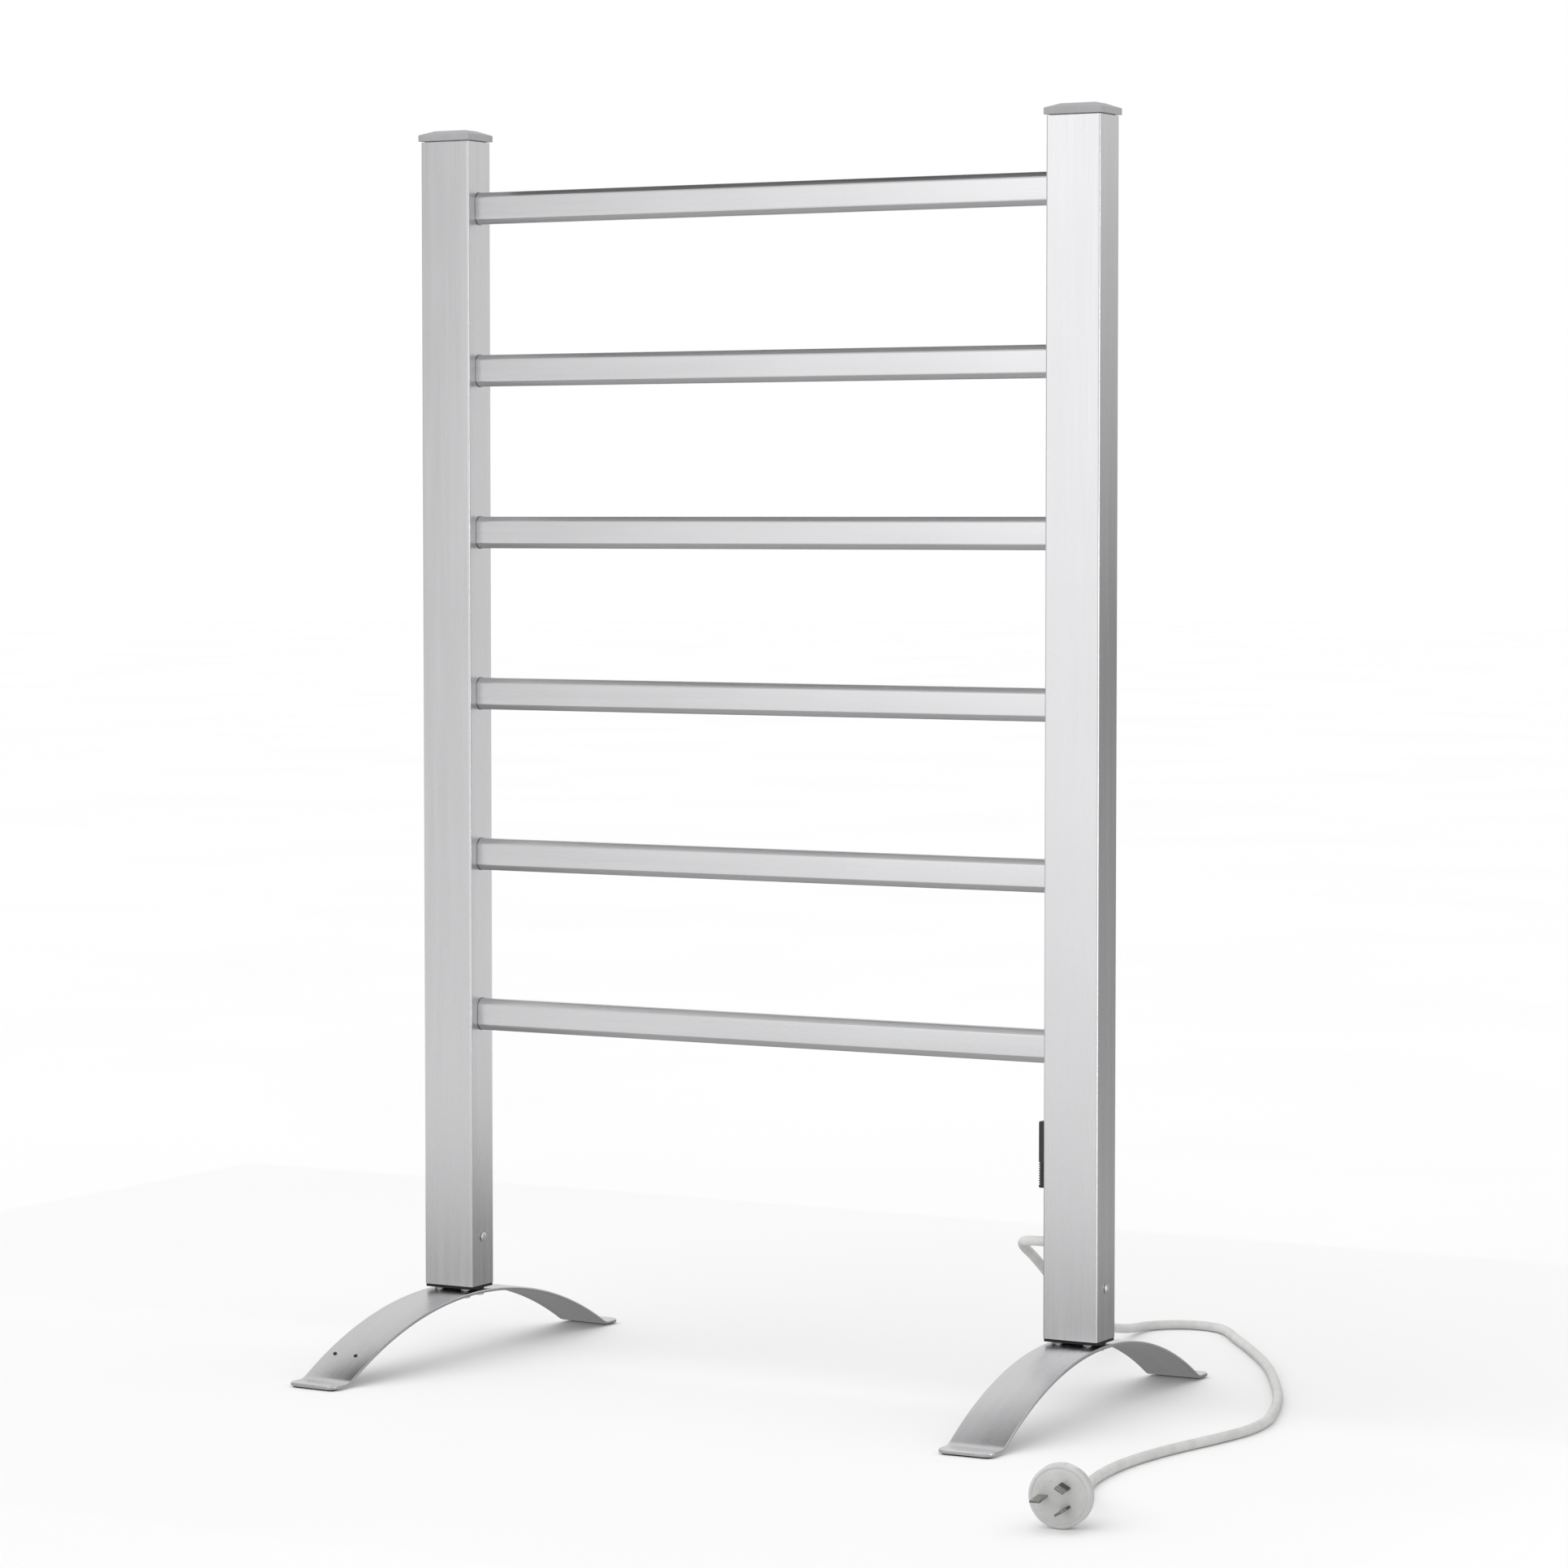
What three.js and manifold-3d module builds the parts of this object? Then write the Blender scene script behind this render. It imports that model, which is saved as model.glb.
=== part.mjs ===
// A freestanding electric towel rail: two box-section posts on arched feet, six heated bars,
// a rocker switch and a mains lead with a flat three-pin plug. Millimetres, +Z up.
// +X runs along the bars from the left post to the right post, +Y points to the back.
import * as THREE from "three";
import { mergeVertices } from "three/addons/utils/BufferGeometryUtils.js";
import Module from "manifold-3d";

const wasm = await Module();
wasm.setup();

// ---- driving dimensions ----
const GAP = 0.3; // between touching pieces

const POST_SPACING = 496; // centre to centre
const POST_W = 40.2; // along X
const POST_D = 28.9; // along Y
const POST_WALL = 1.5;
const POST_CORNER = 1.4;
const POST_BOTTOM = 51.8;
const POST_TOP = 870;

const BAR_COUNT = 6;
const BAR_PITCH = 115;
const TOP_BAR_Z = 822.7;
const BAR_H = 22.6;
const BAR_D = 12;
const BAR_WALL = 1.2;
const BAR_CHAMFER_H = 3.8;
const BAR_CHAMFER_D = 3.6;
const BAR_INSERT = 14; // how far a bar reaches into each post

const CAP_OVERHANG = 1.5;
const CAP_RIM_H = 5;
const CAP_SLOPE_W = 9;
const CAP_SLOPE_H = 3.1;
const CAP_STUB_H = 14;
const PLASTIC_WALL = 2;

const FLANGE_H = 1.7; // the black rim that shows under a post
const INSERT_TOP = 96;
const INSERT_FLOOR = 62;
const FIT_CLEARANCE = 0.4; // plastic inserts in the posts, each side

const FOOT_W = 40.3;
const FOOT_LENGTH = 352;
const FOOT_THICKNESS = 2.4;
const FOOT_TOP = 48;
const FOOT_ARC_R = 305;
const FOOT_FLARE_R = 14;
const FOOT_TIP_CORNER = 6;
const FOOT_LIFT = 1.2; // the tips' underside above the floor
const FOOT_TURN = { left: -3, right: 1 }; // degrees from square to the bars, within the bolts' play

const PAD = { w: 34, d: 9, h: 1.0, inset: 6.5 };

const BOLT = { x: 11, y: 9, shankR: 2, headR: 3.7, headH: 2.2, top: 60 };
const WASHER = { r: 3.5, bore: 2.35, h: 1.35 };
const SIDE_SCREW = { z: 86.6, shankR: 1.9, headR: 3.2, headH: 1.5, length: 9 };
const RIVET = { xs: [-12, 6], y: -132, shankR: 0.8, headR: 1.5, headH: 0.6 };

const SWITCH = { z: 175.4, h: 45, w: 22, proud: 4.9, bodyW: 16, bodyBottom: 156, bodyTop: 196.3 };
SWITCH.bodyDepth = 17.1;
const ROCKER = { z: 184.1, halfW: 6.3, end: 10, face: 3.6, faceEnd: 5.1, pivot: 2.5, tilt: 8 };
const POCKET = { halfW: 6.8, halfH: 11, depth: 13 };
const TRUNNION = { r: 1.2, reach: 7.3, hole: 1.5, holeReach: 7.6 };
const TAB = { w: 4.8, t: 0.8, length: 6.7, zs: { live: 164.5, load: 180.5 } };

const CORD_D = 6.8;
const GLAND = { y: 6, z: 114.2, barrelR: 5.4, barrelIn: 14, flangeR: 6.8, flangeH: 2, nose: 4, noseR: 4.2 };

const PLUG = { r: 19.6, rim: 8, tilt: 0, face: [405.9, -352.4], facing: [0.1852, -0.9827], length: 42 };
const PIN = { w: 6.35, t: 1.63, phase: 17, earth: 20, phaseR: 7.92, earthR: 10.3 };

// The lead's route, from the gland's nose to the plug's tail: out of the post, round to the back,
// down to the floor behind the rail, and forward past the right foot.
const CORD_ROUTE = [
  [221.6, 6, 114.2],
  [217, 6.25, 114.2],
  [210.7, 7.8, 113.9],
  [202.7, 12.1, 112.8],
  [196.6, 18.8, 110.7],
  [193, 26, 107.7],
  [191.5, 33, 104.3],
  [190.2, 48, 96.6],
  [187, 78, 79.8],
  [177.5, 126, 54.6],
  [165.2, 182, 33.4],
  [153, 247, 16.4],
  [145.8, 290, 8.4],
  [141.7, 317.8, 4.9],
  [142.2, 330.7, 4.1],
  [147.4, 342.4, 3.6],
  [156.6, 351.3, 3.5],
  [168.5, 356.2, 3.5],
  [181.3, 356.4, 3.5],
  [193.3, 351.8, 3.5],
  [203.2, 342.6, 3.5],
  [224, 314, 3.5],
  [251, 277, 3.5],
  [286, 225, 3.5],
  [319, 165, 3.5],
  [347.5, 106, 3.5],
  [367, 54, 3.5],
  [377, 18, 3.5],
  [379.5, -16, 3.5],
  [374, -54, 3.5],
  [364.5, -98, 3.5],
  [358.8, -142, 3.5],
  [358.8, -180, 3.5],
  [364.5, -220, 3.5],
  [372.3, -245, 3.6],
  [380, -264, 6.7],
  [388, -281, 12.6],
  [394.1, -294.5, 17.2],
  [397, -303.8, 19.3],
  [398.07, -310.85, 19.7],
];

// ---- finishes ----
const material = (color, roughness, metalness) =>
  new THREE.MeshStandardMaterial({ color, roughness, metalness });
const POST_METAL = material(0xc9cacb, 0.35, 1);
const BAR_METAL = material(0xc4c5c6, 0.35, 1);
const FOOT_METAL = material(0xb7b8b9, 0.4, 1);
const CAP_GREY = material(0xb0b1b2, 0.5, 0.1);
const BLACK_PLASTIC = material(0x151515, 0.5, 0);
const RUBBER = material(0x101010, 0.8, 0);
const ZINC = material(0xd0d0cd, 0.3, 1);
const LEAD_WHITE = material(0xe3e3e1, 0.5, 0);
const PLUG_WHITE = material(0xe8e8e6, 0.35, 0);
const BRASS = material(0xc8a85a, 0.3, 1);
const NICKEL = material(0xb8b5aa, 0.3, 1);
const SILICONE = material(0x8c1f1a, 0.6, 0);
const NYLON = material(0xe9e7dc, 0.5, 0);

// ---- solids ----
function solid(geometry) {
  const plain = new THREE.BufferGeometry();
  const flat = geometry.index ? geometry.toNonIndexed() : geometry;
  plain.setAttribute("position", flat.getAttribute("position").clone());
  const merged = mergeVertices(plain, 1e-4);
  const corners = merged.index.array;
  const triangles = [];
  for (let i = 0; i < corners.length; i += 3) {
    const [a, b, c] = [corners[i], corners[i + 1], corners[i + 2]];
    if (a !== b && b !== c && a !== c) triangles.push(a, b, c);
  }
  return new wasm.Manifold(
    new wasm.Mesh({
      numProp: 3,
      vertProperties: merged.attributes.position.array,
      triVerts: new Uint32Array(triangles),
    }),
  );
}

function geometryOf(body) {
  const mesh = body.getMesh();
  const geometry = new THREE.BufferGeometry();
  geometry.setAttribute("position", new THREE.BufferAttribute(new Float32Array(mesh.vertProperties), 3));
  geometry.setIndex(new THREE.BufferAttribute(new Uint32Array(mesh.triVerts), 1));
  geometry.computeVertexNormals();
  return geometry;
}

const box = (x0, x1, y0, y1, z0, z1) =>
  new THREE.BoxGeometry(x1 - x0, y1 - y0, z1 - z0).translate((x0 + x1) / 2, (y0 + y1) / 2, (z0 + z1) / 2);

// A solid of revolution about Z, from [radius, height] pairs listed upwards.
function turned(profile, sides = 16) {
  const points = profile.map(([r, z]) => new THREE.Vector2(r, z));
  return new THREE.LatheGeometry(points, sides).rotateX(Math.PI / 2);
}

// A rod of one radius along Z.
const rod = (r, z0, z1, sides = 12) =>
  new THREE.CylinderGeometry(r, r, z1 - z0, sides).rotateX(Math.PI / 2).translate(0, 0, (z0 + z1) / 2);

function roundedRect(w, d, r, steps = 3) {
  const shape = new THREE.Shape();
  const corners = [
    [w / 2 - r, d / 2 - r, 0],
    [-w / 2 + r, d / 2 - r, 90],
    [-w / 2 + r, -d / 2 + r, 180],
    [w / 2 - r, -d / 2 + r, 270],
  ];
  const points = [];
  for (const [x, y, start] of corners)
    for (let i = 0; i <= steps; i++) {
      const a = THREE.MathUtils.degToRad(start + (90 * i) / steps);
      points.push(new THREE.Vector2(x + r * Math.cos(a), y + r * Math.sin(a)));
    }
  return shape.setFromPoints(points);
}

const prism = (shape, z0, z1) =>
  new THREE.ExtrudeGeometry(shape, { depth: z1 - z0, bevelEnabled: false }).translate(0, 0, z0);

// A path given by its own stations, so that a straight run takes a single step.
class StationPath extends THREE.Curve {
  constructor(stations) {
    super();
    this.stations = stations;
  }
  getPointAt(u, target = new THREE.Vector3()) {
    return target.copy(this.stations[Math.round(u * (this.stations.length - 1))]);
  }
  getTangentAt(u, target = new THREE.Vector3()) {
    const last = this.stations.length - 1;
    const i = Math.round(u * last);
    const before = this.stations[Math.max(i - 1, 0)];
    const after = this.stations[Math.min(i + 1, last)];
    return target.subVectors(after, before).normalize();
  }
}

// Stations of a polyline whose corners are rounded.
function roundedPath(points, radius, steps = 3) {
  const p = points.map((q) => new THREE.Vector3(...q));
  const stations = [p[0]];
  for (let i = 1; i < p.length - 1; i++) {
    const back = new THREE.Vector3().subVectors(p[i - 1], p[i]).normalize();
    const ahead = new THREE.Vector3().subVectors(p[i + 1], p[i]).normalize();
    const turn = Math.PI - back.angleTo(ahead);
    const reach = radius * Math.tan(turn / 2);
    const start = p[i].clone().addScaledVector(back, reach);
    const end = p[i].clone().addScaledVector(ahead, reach);
    const bend = new THREE.QuadraticBezierCurve3(start, p[i], end);
    stations.push(...bend.getPoints(steps));
  }
  stations.push(p[p.length - 1]);
  return new StationPath(stations);
}

function tube(path, steps, r, sides) {
  const section = new THREE.Shape();
  const points = [];
  for (let i = 0; i < sides; i++) {
    const a = (2 * Math.PI * i) / sides;
    points.push(new THREE.Vector2(r * Math.cos(a), r * Math.sin(a)));
  }
  section.setFromPoints(points);
  return new THREE.ExtrudeGeometry(section, { steps, extrudePath: path });
}

const rail = new THREE.Group();
function add(name, geometry, finish, parent = rail) {
  const mesh = new THREE.Mesh(geometry, finish);
  mesh.name = name;
  parent.add(mesh);
  return mesh;
}

// ---- places worked out from the dimensions ----
const SIDES = { left: -1, right: 1 };
const postX = (side) => (side * POST_SPACING) / 2;
const barZ = (i) => TOP_BAR_Z - i * BAR_PITCH;
const INNER_FACE = postX(1) - POST_W / 2; // the right post's face that looks along -X
const INSERT_W = POST_W - 2 * POST_WALL - 2 * FIT_CLEARANCE;
const INSERT_D = POST_D - 2 * POST_WALL - 2 * FIT_CLEARANCE;
const FLANGE_TOP = POST_BOTTOM - GAP;
const FLANGE_BOTTOM = FLANGE_TOP - FLANGE_H;

// ---- bars ----
function barSection(grow) {
  const [h, d] = [BAR_H / 2 + grow, BAR_D / 2 + grow];
  const [ch, cd] = [BAR_CHAMFER_H, BAR_CHAMFER_D];
  const soften = 0.8;
  // The octagon's corners, each cut once more so that the edges are eased.
  const octagon = [
    [d, h - ch], [d - cd, h], [cd - d, h], [-d, h - ch],
    [-d, ch - h], [cd - d, -h], [d - cd, -h], [d, ch - h],
  ].map(([y, z]) => new THREE.Vector2(y, z));
  const points = octagon.flatMap((corner, i) => {
    const before = octagon[(i + 7) % 8].clone().sub(corner).setLength(soften);
    const after = octagon[(i + 1) % 8].clone().sub(corner).setLength(soften);
    return [corner.clone().add(before), corner.clone().add(after)];
  });
  return new THREE.Shape().setFromPoints(points);
}

// A section in (Y, Z) swept along X.
const alongX = (shape, x0, x1) =>
  prism(shape, x0, x1).applyMatrix4(
    new THREE.Matrix4().makeBasis(
      new THREE.Vector3(0, 1, 0),
      new THREE.Vector3(0, 0, 1),
      new THREE.Vector3(1, 0, 0),
    ),
  );

function makeBars() {
  const end = INNER_FACE + BAR_INSERT;
  for (let i = 0; i < BAR_COUNT; i++) {
    const shell = solid(alongX(barSection(0), -end, end));
    const hollow = solid(alongX(barSection(-BAR_WALL), -end - 1, end + 1));
    add(`bar_${i + 1}`, geometryOf(shell.subtract(hollow)), BAR_METAL).position.z = barZ(i);
  }
}

// ---- posts ----
function makePost(name, side) {
  const x = postX(side);
  let body = solid(prism(roundedRect(POST_W, POST_D, POST_CORNER), POST_BOTTOM, POST_TOP));
  const inside = roundedRect(POST_W - 2 * POST_WALL, POST_D - 2 * POST_WALL, POST_CORNER / 2, 1);
  body = body.subtract(solid(prism(inside, POST_BOTTOM - 1, POST_TOP + 1)));
  const faceX = (-side * POST_W) / 2;
  for (let i = 0; i < BAR_COUNT; i++) {
    const slot = alongX(barSection(GAP), faceX - 4, faceX + 4).translate(0, 0, barZ(i));
    body = body.subtract(solid(slot));
  }
  const screwHole = rod(SIDE_SCREW.shankR + GAP, -POST_W, POST_W).rotateY(Math.PI / 2);
  body = body.subtract(solid(screwHole.translate(0, 0, SIDE_SCREW.z)));
  if (side > 0) {
    const reach = SWITCH.bodyW / 2 + GAP;
    const opening = box(faceX - 3, faceX + 3, -reach, reach, SWITCH.bodyBottom - GAP, SWITCH.bodyTop + GAP);
    body = body.subtract(solid(opening));
    const cordHole = rod(GLAND.barrelR + GAP, -3, 3, 20).rotateY(Math.PI / 2);
    body = body.subtract(solid(cordHole.translate(faceX, GLAND.y, GLAND.z)));
  }
  add(name, geometryOf(body), POST_METAL).position.x = x;
}

// ---- top caps ----
function makeCap(name, side) {
  const [w, d] = [POST_W + 2 * CAP_OVERHANG, POST_D + 2 * CAP_OVERHANG];
  const rimBottom = POST_TOP + GAP;
  const rimTop = rimBottom + CAP_RIM_H;
  const rim = prism(roundedRect(w, d, POST_CORNER), rimBottom, rimTop);
  // A low hipped roof: a box whose upper corners are drawn in.
  const roof = box(-w / 2 + 0.2, w / 2 - 0.2, -d / 2 + 0.2, d / 2 - 0.2, rimTop - 0.5, rimTop + CAP_SLOPE_H);
  const corners = roof.attributes.position;
  for (let i = 0; i < corners.count; i++)
    if (corners.getZ(i) > rimTop) {
      corners.setX(i, corners.getX(i) - Math.sign(corners.getX(i)) * CAP_SLOPE_W);
      corners.setY(i, corners.getY(i) - Math.sign(corners.getY(i)) * CAP_SLOPE_W);
    }
  const stub = prism(roundedRect(INSERT_W, INSERT_D, POST_CORNER, 1), rimBottom - CAP_STUB_H, rimBottom + 1);
  const hollowW = INSERT_W - 2 * PLASTIC_WALL;
  const hollowD = INSERT_D - 2 * PLASTIC_WALL;
  const hollow = prism(roundedRect(hollowW, hollowD, 1, 1), rimBottom - CAP_STUB_H - 1, rimBottom + 1);
  const body = solid(rim).add(solid(roof)).add(solid(stub)).subtract(solid(hollow));
  add(name, geometryOf(body), CAP_GREY).position.x = postX(side);
}

// ---- base plugs, with the foot bolts' and the side screws' holes ----
const boltPlaces = [
  ["front_left", -BOLT.x, -BOLT.y],
  ["front_right", BOLT.x, -BOLT.y],
  ["rear_left", -BOLT.x, BOLT.y],
  ["rear_right", BOLT.x, BOLT.y],
];

function makeBasePlug(name, side) {
  const flange = prism(roundedRect(POST_W - 0.6, POST_D - 0.6, POST_CORNER), FLANGE_BOTTOM, FLANGE_TOP);
  const insert = prism(roundedRect(INSERT_W, INSERT_D, POST_CORNER, 1), FLANGE_BOTTOM + 0.5, INSERT_TOP);
  const wall = PLASTIC_WALL + 2;
  const pocket = prism(
    roundedRect(INSERT_W - 2 * wall, INSERT_D - 2 * wall, 1, 1),
    INSERT_FLOOR,
    INSERT_TOP + 1,
  );
  let body = solid(flange).add(solid(insert)).subtract(solid(pocket));
  // A rib that stands on the foot, between the front and rear spacers.
  body = body.add(solid(box(-18, 18, -4.6, 4.6, FOOT_TOP + GAP, FLANGE_BOTTOM + 0.5)));
  for (const [, x, y] of boltPlaces) {
    const hole = rod(BOLT.shankR + GAP, FLANGE_BOTTOM - 1, BOLT.top + GAP).translate(x, y, 0);
    body = body.subtract(solid(hole));
  }
  const screwHole = rod(SIDE_SCREW.shankR + GAP, -POST_W, POST_W).rotateY(Math.PI / 2);
  body = body.subtract(solid(screwHole.translate(0, 0, SIDE_SCREW.z)));
  add(name, geometryOf(body), BLACK_PLASTIC).position.x = postX(side);
}

// ---- feet ----
const TIP_TOP = FOOT_LIFT + FOOT_THICKNESS;
const FLARE_ANGLE = Math.acos(1 - (FOOT_TOP - TIP_TOP) / (FOOT_ARC_R + FOOT_FLARE_R));
const FLARE_END = (FOOT_ARC_R + FOOT_FLARE_R) * Math.sin(FLARE_ANGLE);
const archTop = (y) => FOOT_TOP - FOOT_ARC_R + Math.sqrt(FOOT_ARC_R ** 2 - y ** 2);

function footProfile() {
  const arcSteps = 12;
  const flareSteps = 4;
  const line = (depth) => {
    const points = [];
    for (let i = -arcSteps; i <= arcSteps; i++) {
      const a = (FLARE_ANGLE * i) / arcSteps;
      const r = FOOT_ARC_R - depth;
      points.push([r * Math.sin(a), FOOT_TOP - FOOT_ARC_R + r * Math.cos(a)]);
    }
    const flare = [];
    for (let i = flareSteps - 1; i >= 0; i--) {
      const a = (FLARE_ANGLE * i) / flareSteps;
      const r = FOOT_FLARE_R + depth;
      flare.push([FLARE_END - r * Math.sin(a), TIP_TOP + FOOT_FLARE_R - r * Math.cos(a)]);
    }
    flare.push([FOOT_LENGTH / 2, TIP_TOP - depth]);
    const mirrored = flare.map(([y, z]) => [-y, z]).reverse();
    return [...mirrored, ...points, ...flare];
  };
  const outline = [...line(FOOT_THICKNESS), ...line(0).reverse()];
  return new THREE.Shape().setFromPoints(outline.map(([y, z]) => new THREE.Vector2(y, z)));
}

const footTurn = (side) => THREE.MathUtils.degToRad(side < 0 ? FOOT_TURN.left : FOOT_TURN.right);

function makeFoot(name, side) {
  const turn = footTurn(side);
  let body = solid(alongX(footProfile(), -FOOT_W / 2 - 1, FOOT_W / 2 + 1).rotateZ(turn));
  const plan = prism(roundedRect(FOOT_W, FOOT_LENGTH, FOOT_TIP_CORNER), -1, FOOT_TOP + 1);
  body = body.intersect(solid(plan.rotateZ(turn)));
  for (const [, x, y] of boltPlaces)
    body = body.subtract(solid(rod(BOLT.shankR + GAP, 30, 60).translate(x, y, 0)));
  if (side < 0)
    for (const x of RIVET.xs)
      body = body.subtract(solid(rivetPlaced(rod(RIVET.shankR + GAP, -5, 5, 10), x)));
  add(name, geometryOf(body), FOOT_METAL).position.x = postX(side);
}

// Turns a piece built on the foot's surface normal to its place on the front slope.
function rivetPlaced(geometry, x) {
  const slope = Math.asin(RIVET.y / FOOT_ARC_R);
  return geometry.rotateX(-slope).translate(x, RIVET.y, archTop(RIVET.y)).rotateZ(footTurn(-1));
}

function makeRivets() {
  RIVET.xs.forEach((x, i) => {
    const below = -FOOT_THICKNESS - GAP;
    const profile = [
      [0, below - RIVET.headH],
      [RIVET.headR, below - RIVET.headH],
      [RIVET.headR, below],
      [RIVET.shankR, below],
      [RIVET.shankR, GAP],
      [RIVET.headR, GAP],
      [RIVET.headR * 0.7, GAP + RIVET.headH * 0.75],
      [0, GAP + RIVET.headH],
    ];
    const geometry = rivetPlaced(turned(profile, 10), x);
    add(`foot_rivet_${i + 1}`, geometry, ZINC).position.x = postX(-1);
  });
}

function makePads() {
  for (const [sideName, side] of Object.entries(SIDES))
    for (const [endName, end] of [["front", -1], ["rear", 1]]) {
      const y = end * (FOOT_LENGTH / 2 - PAD.inset);
      const pad = prism(roundedRect(PAD.w, PAD.d, 1.5, 1), 0, PAD.h).translate(0, y, 0);
      pad.rotateZ(footTurn(side));
      add(`foot_pad_${sideName}_${endName}`, pad, RUBBER).position.x = postX(side);
    }
}

// ---- fasteners ----
function makeFootBolts() {
  const headTop = archTop(BOLT.y + BOLT.headR) - FOOT_THICKNESS - GAP;
  const profile = [
    [0, headTop - BOLT.headH],
    [BOLT.headR * 0.75, headTop - BOLT.headH],
    [BOLT.headR, headTop - BOLT.headH * 0.6],
    [BOLT.headR, headTop],
    [BOLT.shankR, headTop],
    [BOLT.shankR, BOLT.top - 1],
    [BOLT.shankR - 0.6, BOLT.top],
    [0, BOLT.top],
  ];
  const washerBottom = FLANGE_BOTTOM - 0.2 - WASHER.h;
  const ring = [
    [WASHER.bore, washerBottom],
    [WASHER.r, washerBottom],
    [WASHER.r, washerBottom + WASHER.h],
    [WASHER.bore, washerBottom + WASHER.h],
    [WASHER.bore, washerBottom],
  ];
  for (const [sideName, side] of Object.entries(SIDES))
    for (const [place, x, y] of boltPlaces) {
      const at = [postX(side) + x, y, 0];
      add(`foot_bolt_${sideName}_${place}`, turned(profile, 10), ZINC).position.set(...at);
      add(`foot_spacer_${sideName}_${place}`, turned(ring, 10), ZINC).position.set(...at);
    }
}

function makeSideScrews() {
  const { shankR, headR, headH, length } = SIDE_SCREW;
  const profile = [
    [0, -length],
    [shankR * 0.4, -length],
    [shankR, -length + 2.5],
    [shankR, GAP],
    [headR, GAP],
    [headR, GAP + headH * 0.45],
    [headR * 0.7, GAP + headH * 0.9],
    [0, GAP + headH],
  ];
  // A crosshead recess: two crossed slots in the dome.
  const slot = (turn) => solid(box(-2, 2, -0.4, 0.4, GAP + 0.5, GAP + 3).rotateZ(turn));
  const screw = solid(turned(profile, 16)).subtract(slot(0)).subtract(slot(Math.PI / 2));
  for (const [sideName, side] of Object.entries(SIDES))
    for (const [faceName, face] of [["inner", -side], ["outer", side]]) {
      const mesh = add(`post_screw_${sideName}_${faceName}`, geometryOf(screw), ZINC);
      mesh.rotation.y = (face * Math.PI) / 2;
      mesh.position.set(postX(side) + (face * POST_W) / 2, 0, SIDE_SCREW.z);
    }
}

// ---- switch, in the right post's inner face ----
function makeSwitch() {
  const front = INNER_FACE - SWITCH.proud;
  const back = INNER_FACE + SWITCH.bodyDepth;
  const [z0, z1] = [SWITCH.z - SWITCH.h / 2, SWITCH.z + SWITCH.h / 2];
  const plate = prism(roundedRect(SWITCH.h, SWITCH.w, 1.2), front, INNER_FACE - GAP)
    .rotateY(Math.PI / 2)
    .translate(0, 0, (z0 + z1) / 2);
  const halfW = SWITCH.bodyW / 2;
  const inner = box(front + 2, back, -halfW, halfW, SWITCH.bodyBottom, SWITCH.bodyTop);
  let housing = solid(plate).add(solid(inner));
  const { halfW: pw, halfH: ph } = POCKET;
  const pocket = box(front - 1, INNER_FACE + POCKET.depth, -pw, pw, ROCKER.z - ph, ROCKER.z + ph);
  const seat = rod(TRUNNION.hole, -TRUNNION.holeReach, TRUNNION.holeReach).rotateX(Math.PI / 2);
  housing = housing
    .subtract(solid(pocket))
    .subtract(solid(seat.translate(INNER_FACE - ROCKER.pivot, 0, ROCKER.z)));
  // Grip ribs round the plate's lower part, across its face and down both sides.
  const [ribPitch, ribCount] = [1.6, 10];
  for (let i = 0; i < ribCount; i++) {
    const z = z0 + 2.2 + i * ribPitch;
    const groove = box(front - 1, front + 0.6, -SWITCH.w, SWITCH.w, z, z + ribPitch / 2);
    housing = housing.subtract(solid(groove));
    for (const y of [-SWITCH.w / 2, SWITCH.w / 2]) {
      const side = box(front - 1, INNER_FACE - 1, y - 0.5, y + 0.5, z, z + ribPitch / 2);
      housing = housing.subtract(solid(side));
    }
  }
  add("switch_housing", geometryOf(housing), BLACK_PLASTIC);

  // The rocker, drawn level about its pivot: x is the height above it, y runs along the post.
  const lift = ROCKER.faceEnd - ROCKER.pivot;
  const sweep = Math.hypot(ROCKER.end, lift);
  const low = -ROCKER.pivot;
  const half = [
    [ROCKER.face - ROCKER.pivot, 0],
    [lift, ROCKER.end],
    [0, sweep],
    [low, Math.sqrt(sweep ** 2 - low ** 2)],
    [low - 1.5, 4],
    [low - 6, 1.2],
  ];
  const mirrored = half.slice(1).map(([h, v]) => [h, -v]).reverse();
  const outline = [...half, ...mirrored].map(([h, v]) => new THREE.Vector2(h, v));
  // Height points along -X, out of the post, and the outline's length along Z.
  const toWorld = new THREE.Matrix4().makeBasis(
    new THREE.Vector3(-1, 0, 0),
    new THREE.Vector3(0, 0, 1),
    new THREE.Vector3(0, 1, 0),
  );
  const paddle = prism(new THREE.Shape().setFromPoints(outline), -ROCKER.halfW, ROCKER.halfW);
  const trunnions = rod(TRUNNION.r, -TRUNNION.reach, TRUNNION.reach).rotateX(Math.PI / 2);
  const rocker = solid(paddle.applyMatrix4(toWorld)).add(solid(trunnions));
  const tilted = geometryOf(rocker).rotateY(THREE.MathUtils.degToRad(-ROCKER.tilt));
  add("switch_rocker", tilted, BLACK_PLASTIC).position.set(INNER_FACE - ROCKER.pivot, 0, ROCKER.z);

  for (const [name, z] of Object.entries(TAB.zs)) {
    const x0 = back + GAP;
    const tab = box(x0, x0 + TAB.length, -TAB.w / 2, TAB.w / 2, z - TAB.t / 2, z + TAB.t / 2);
    add(`switch_terminal_${name}`, tab, BRASS);
  }
}

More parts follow.
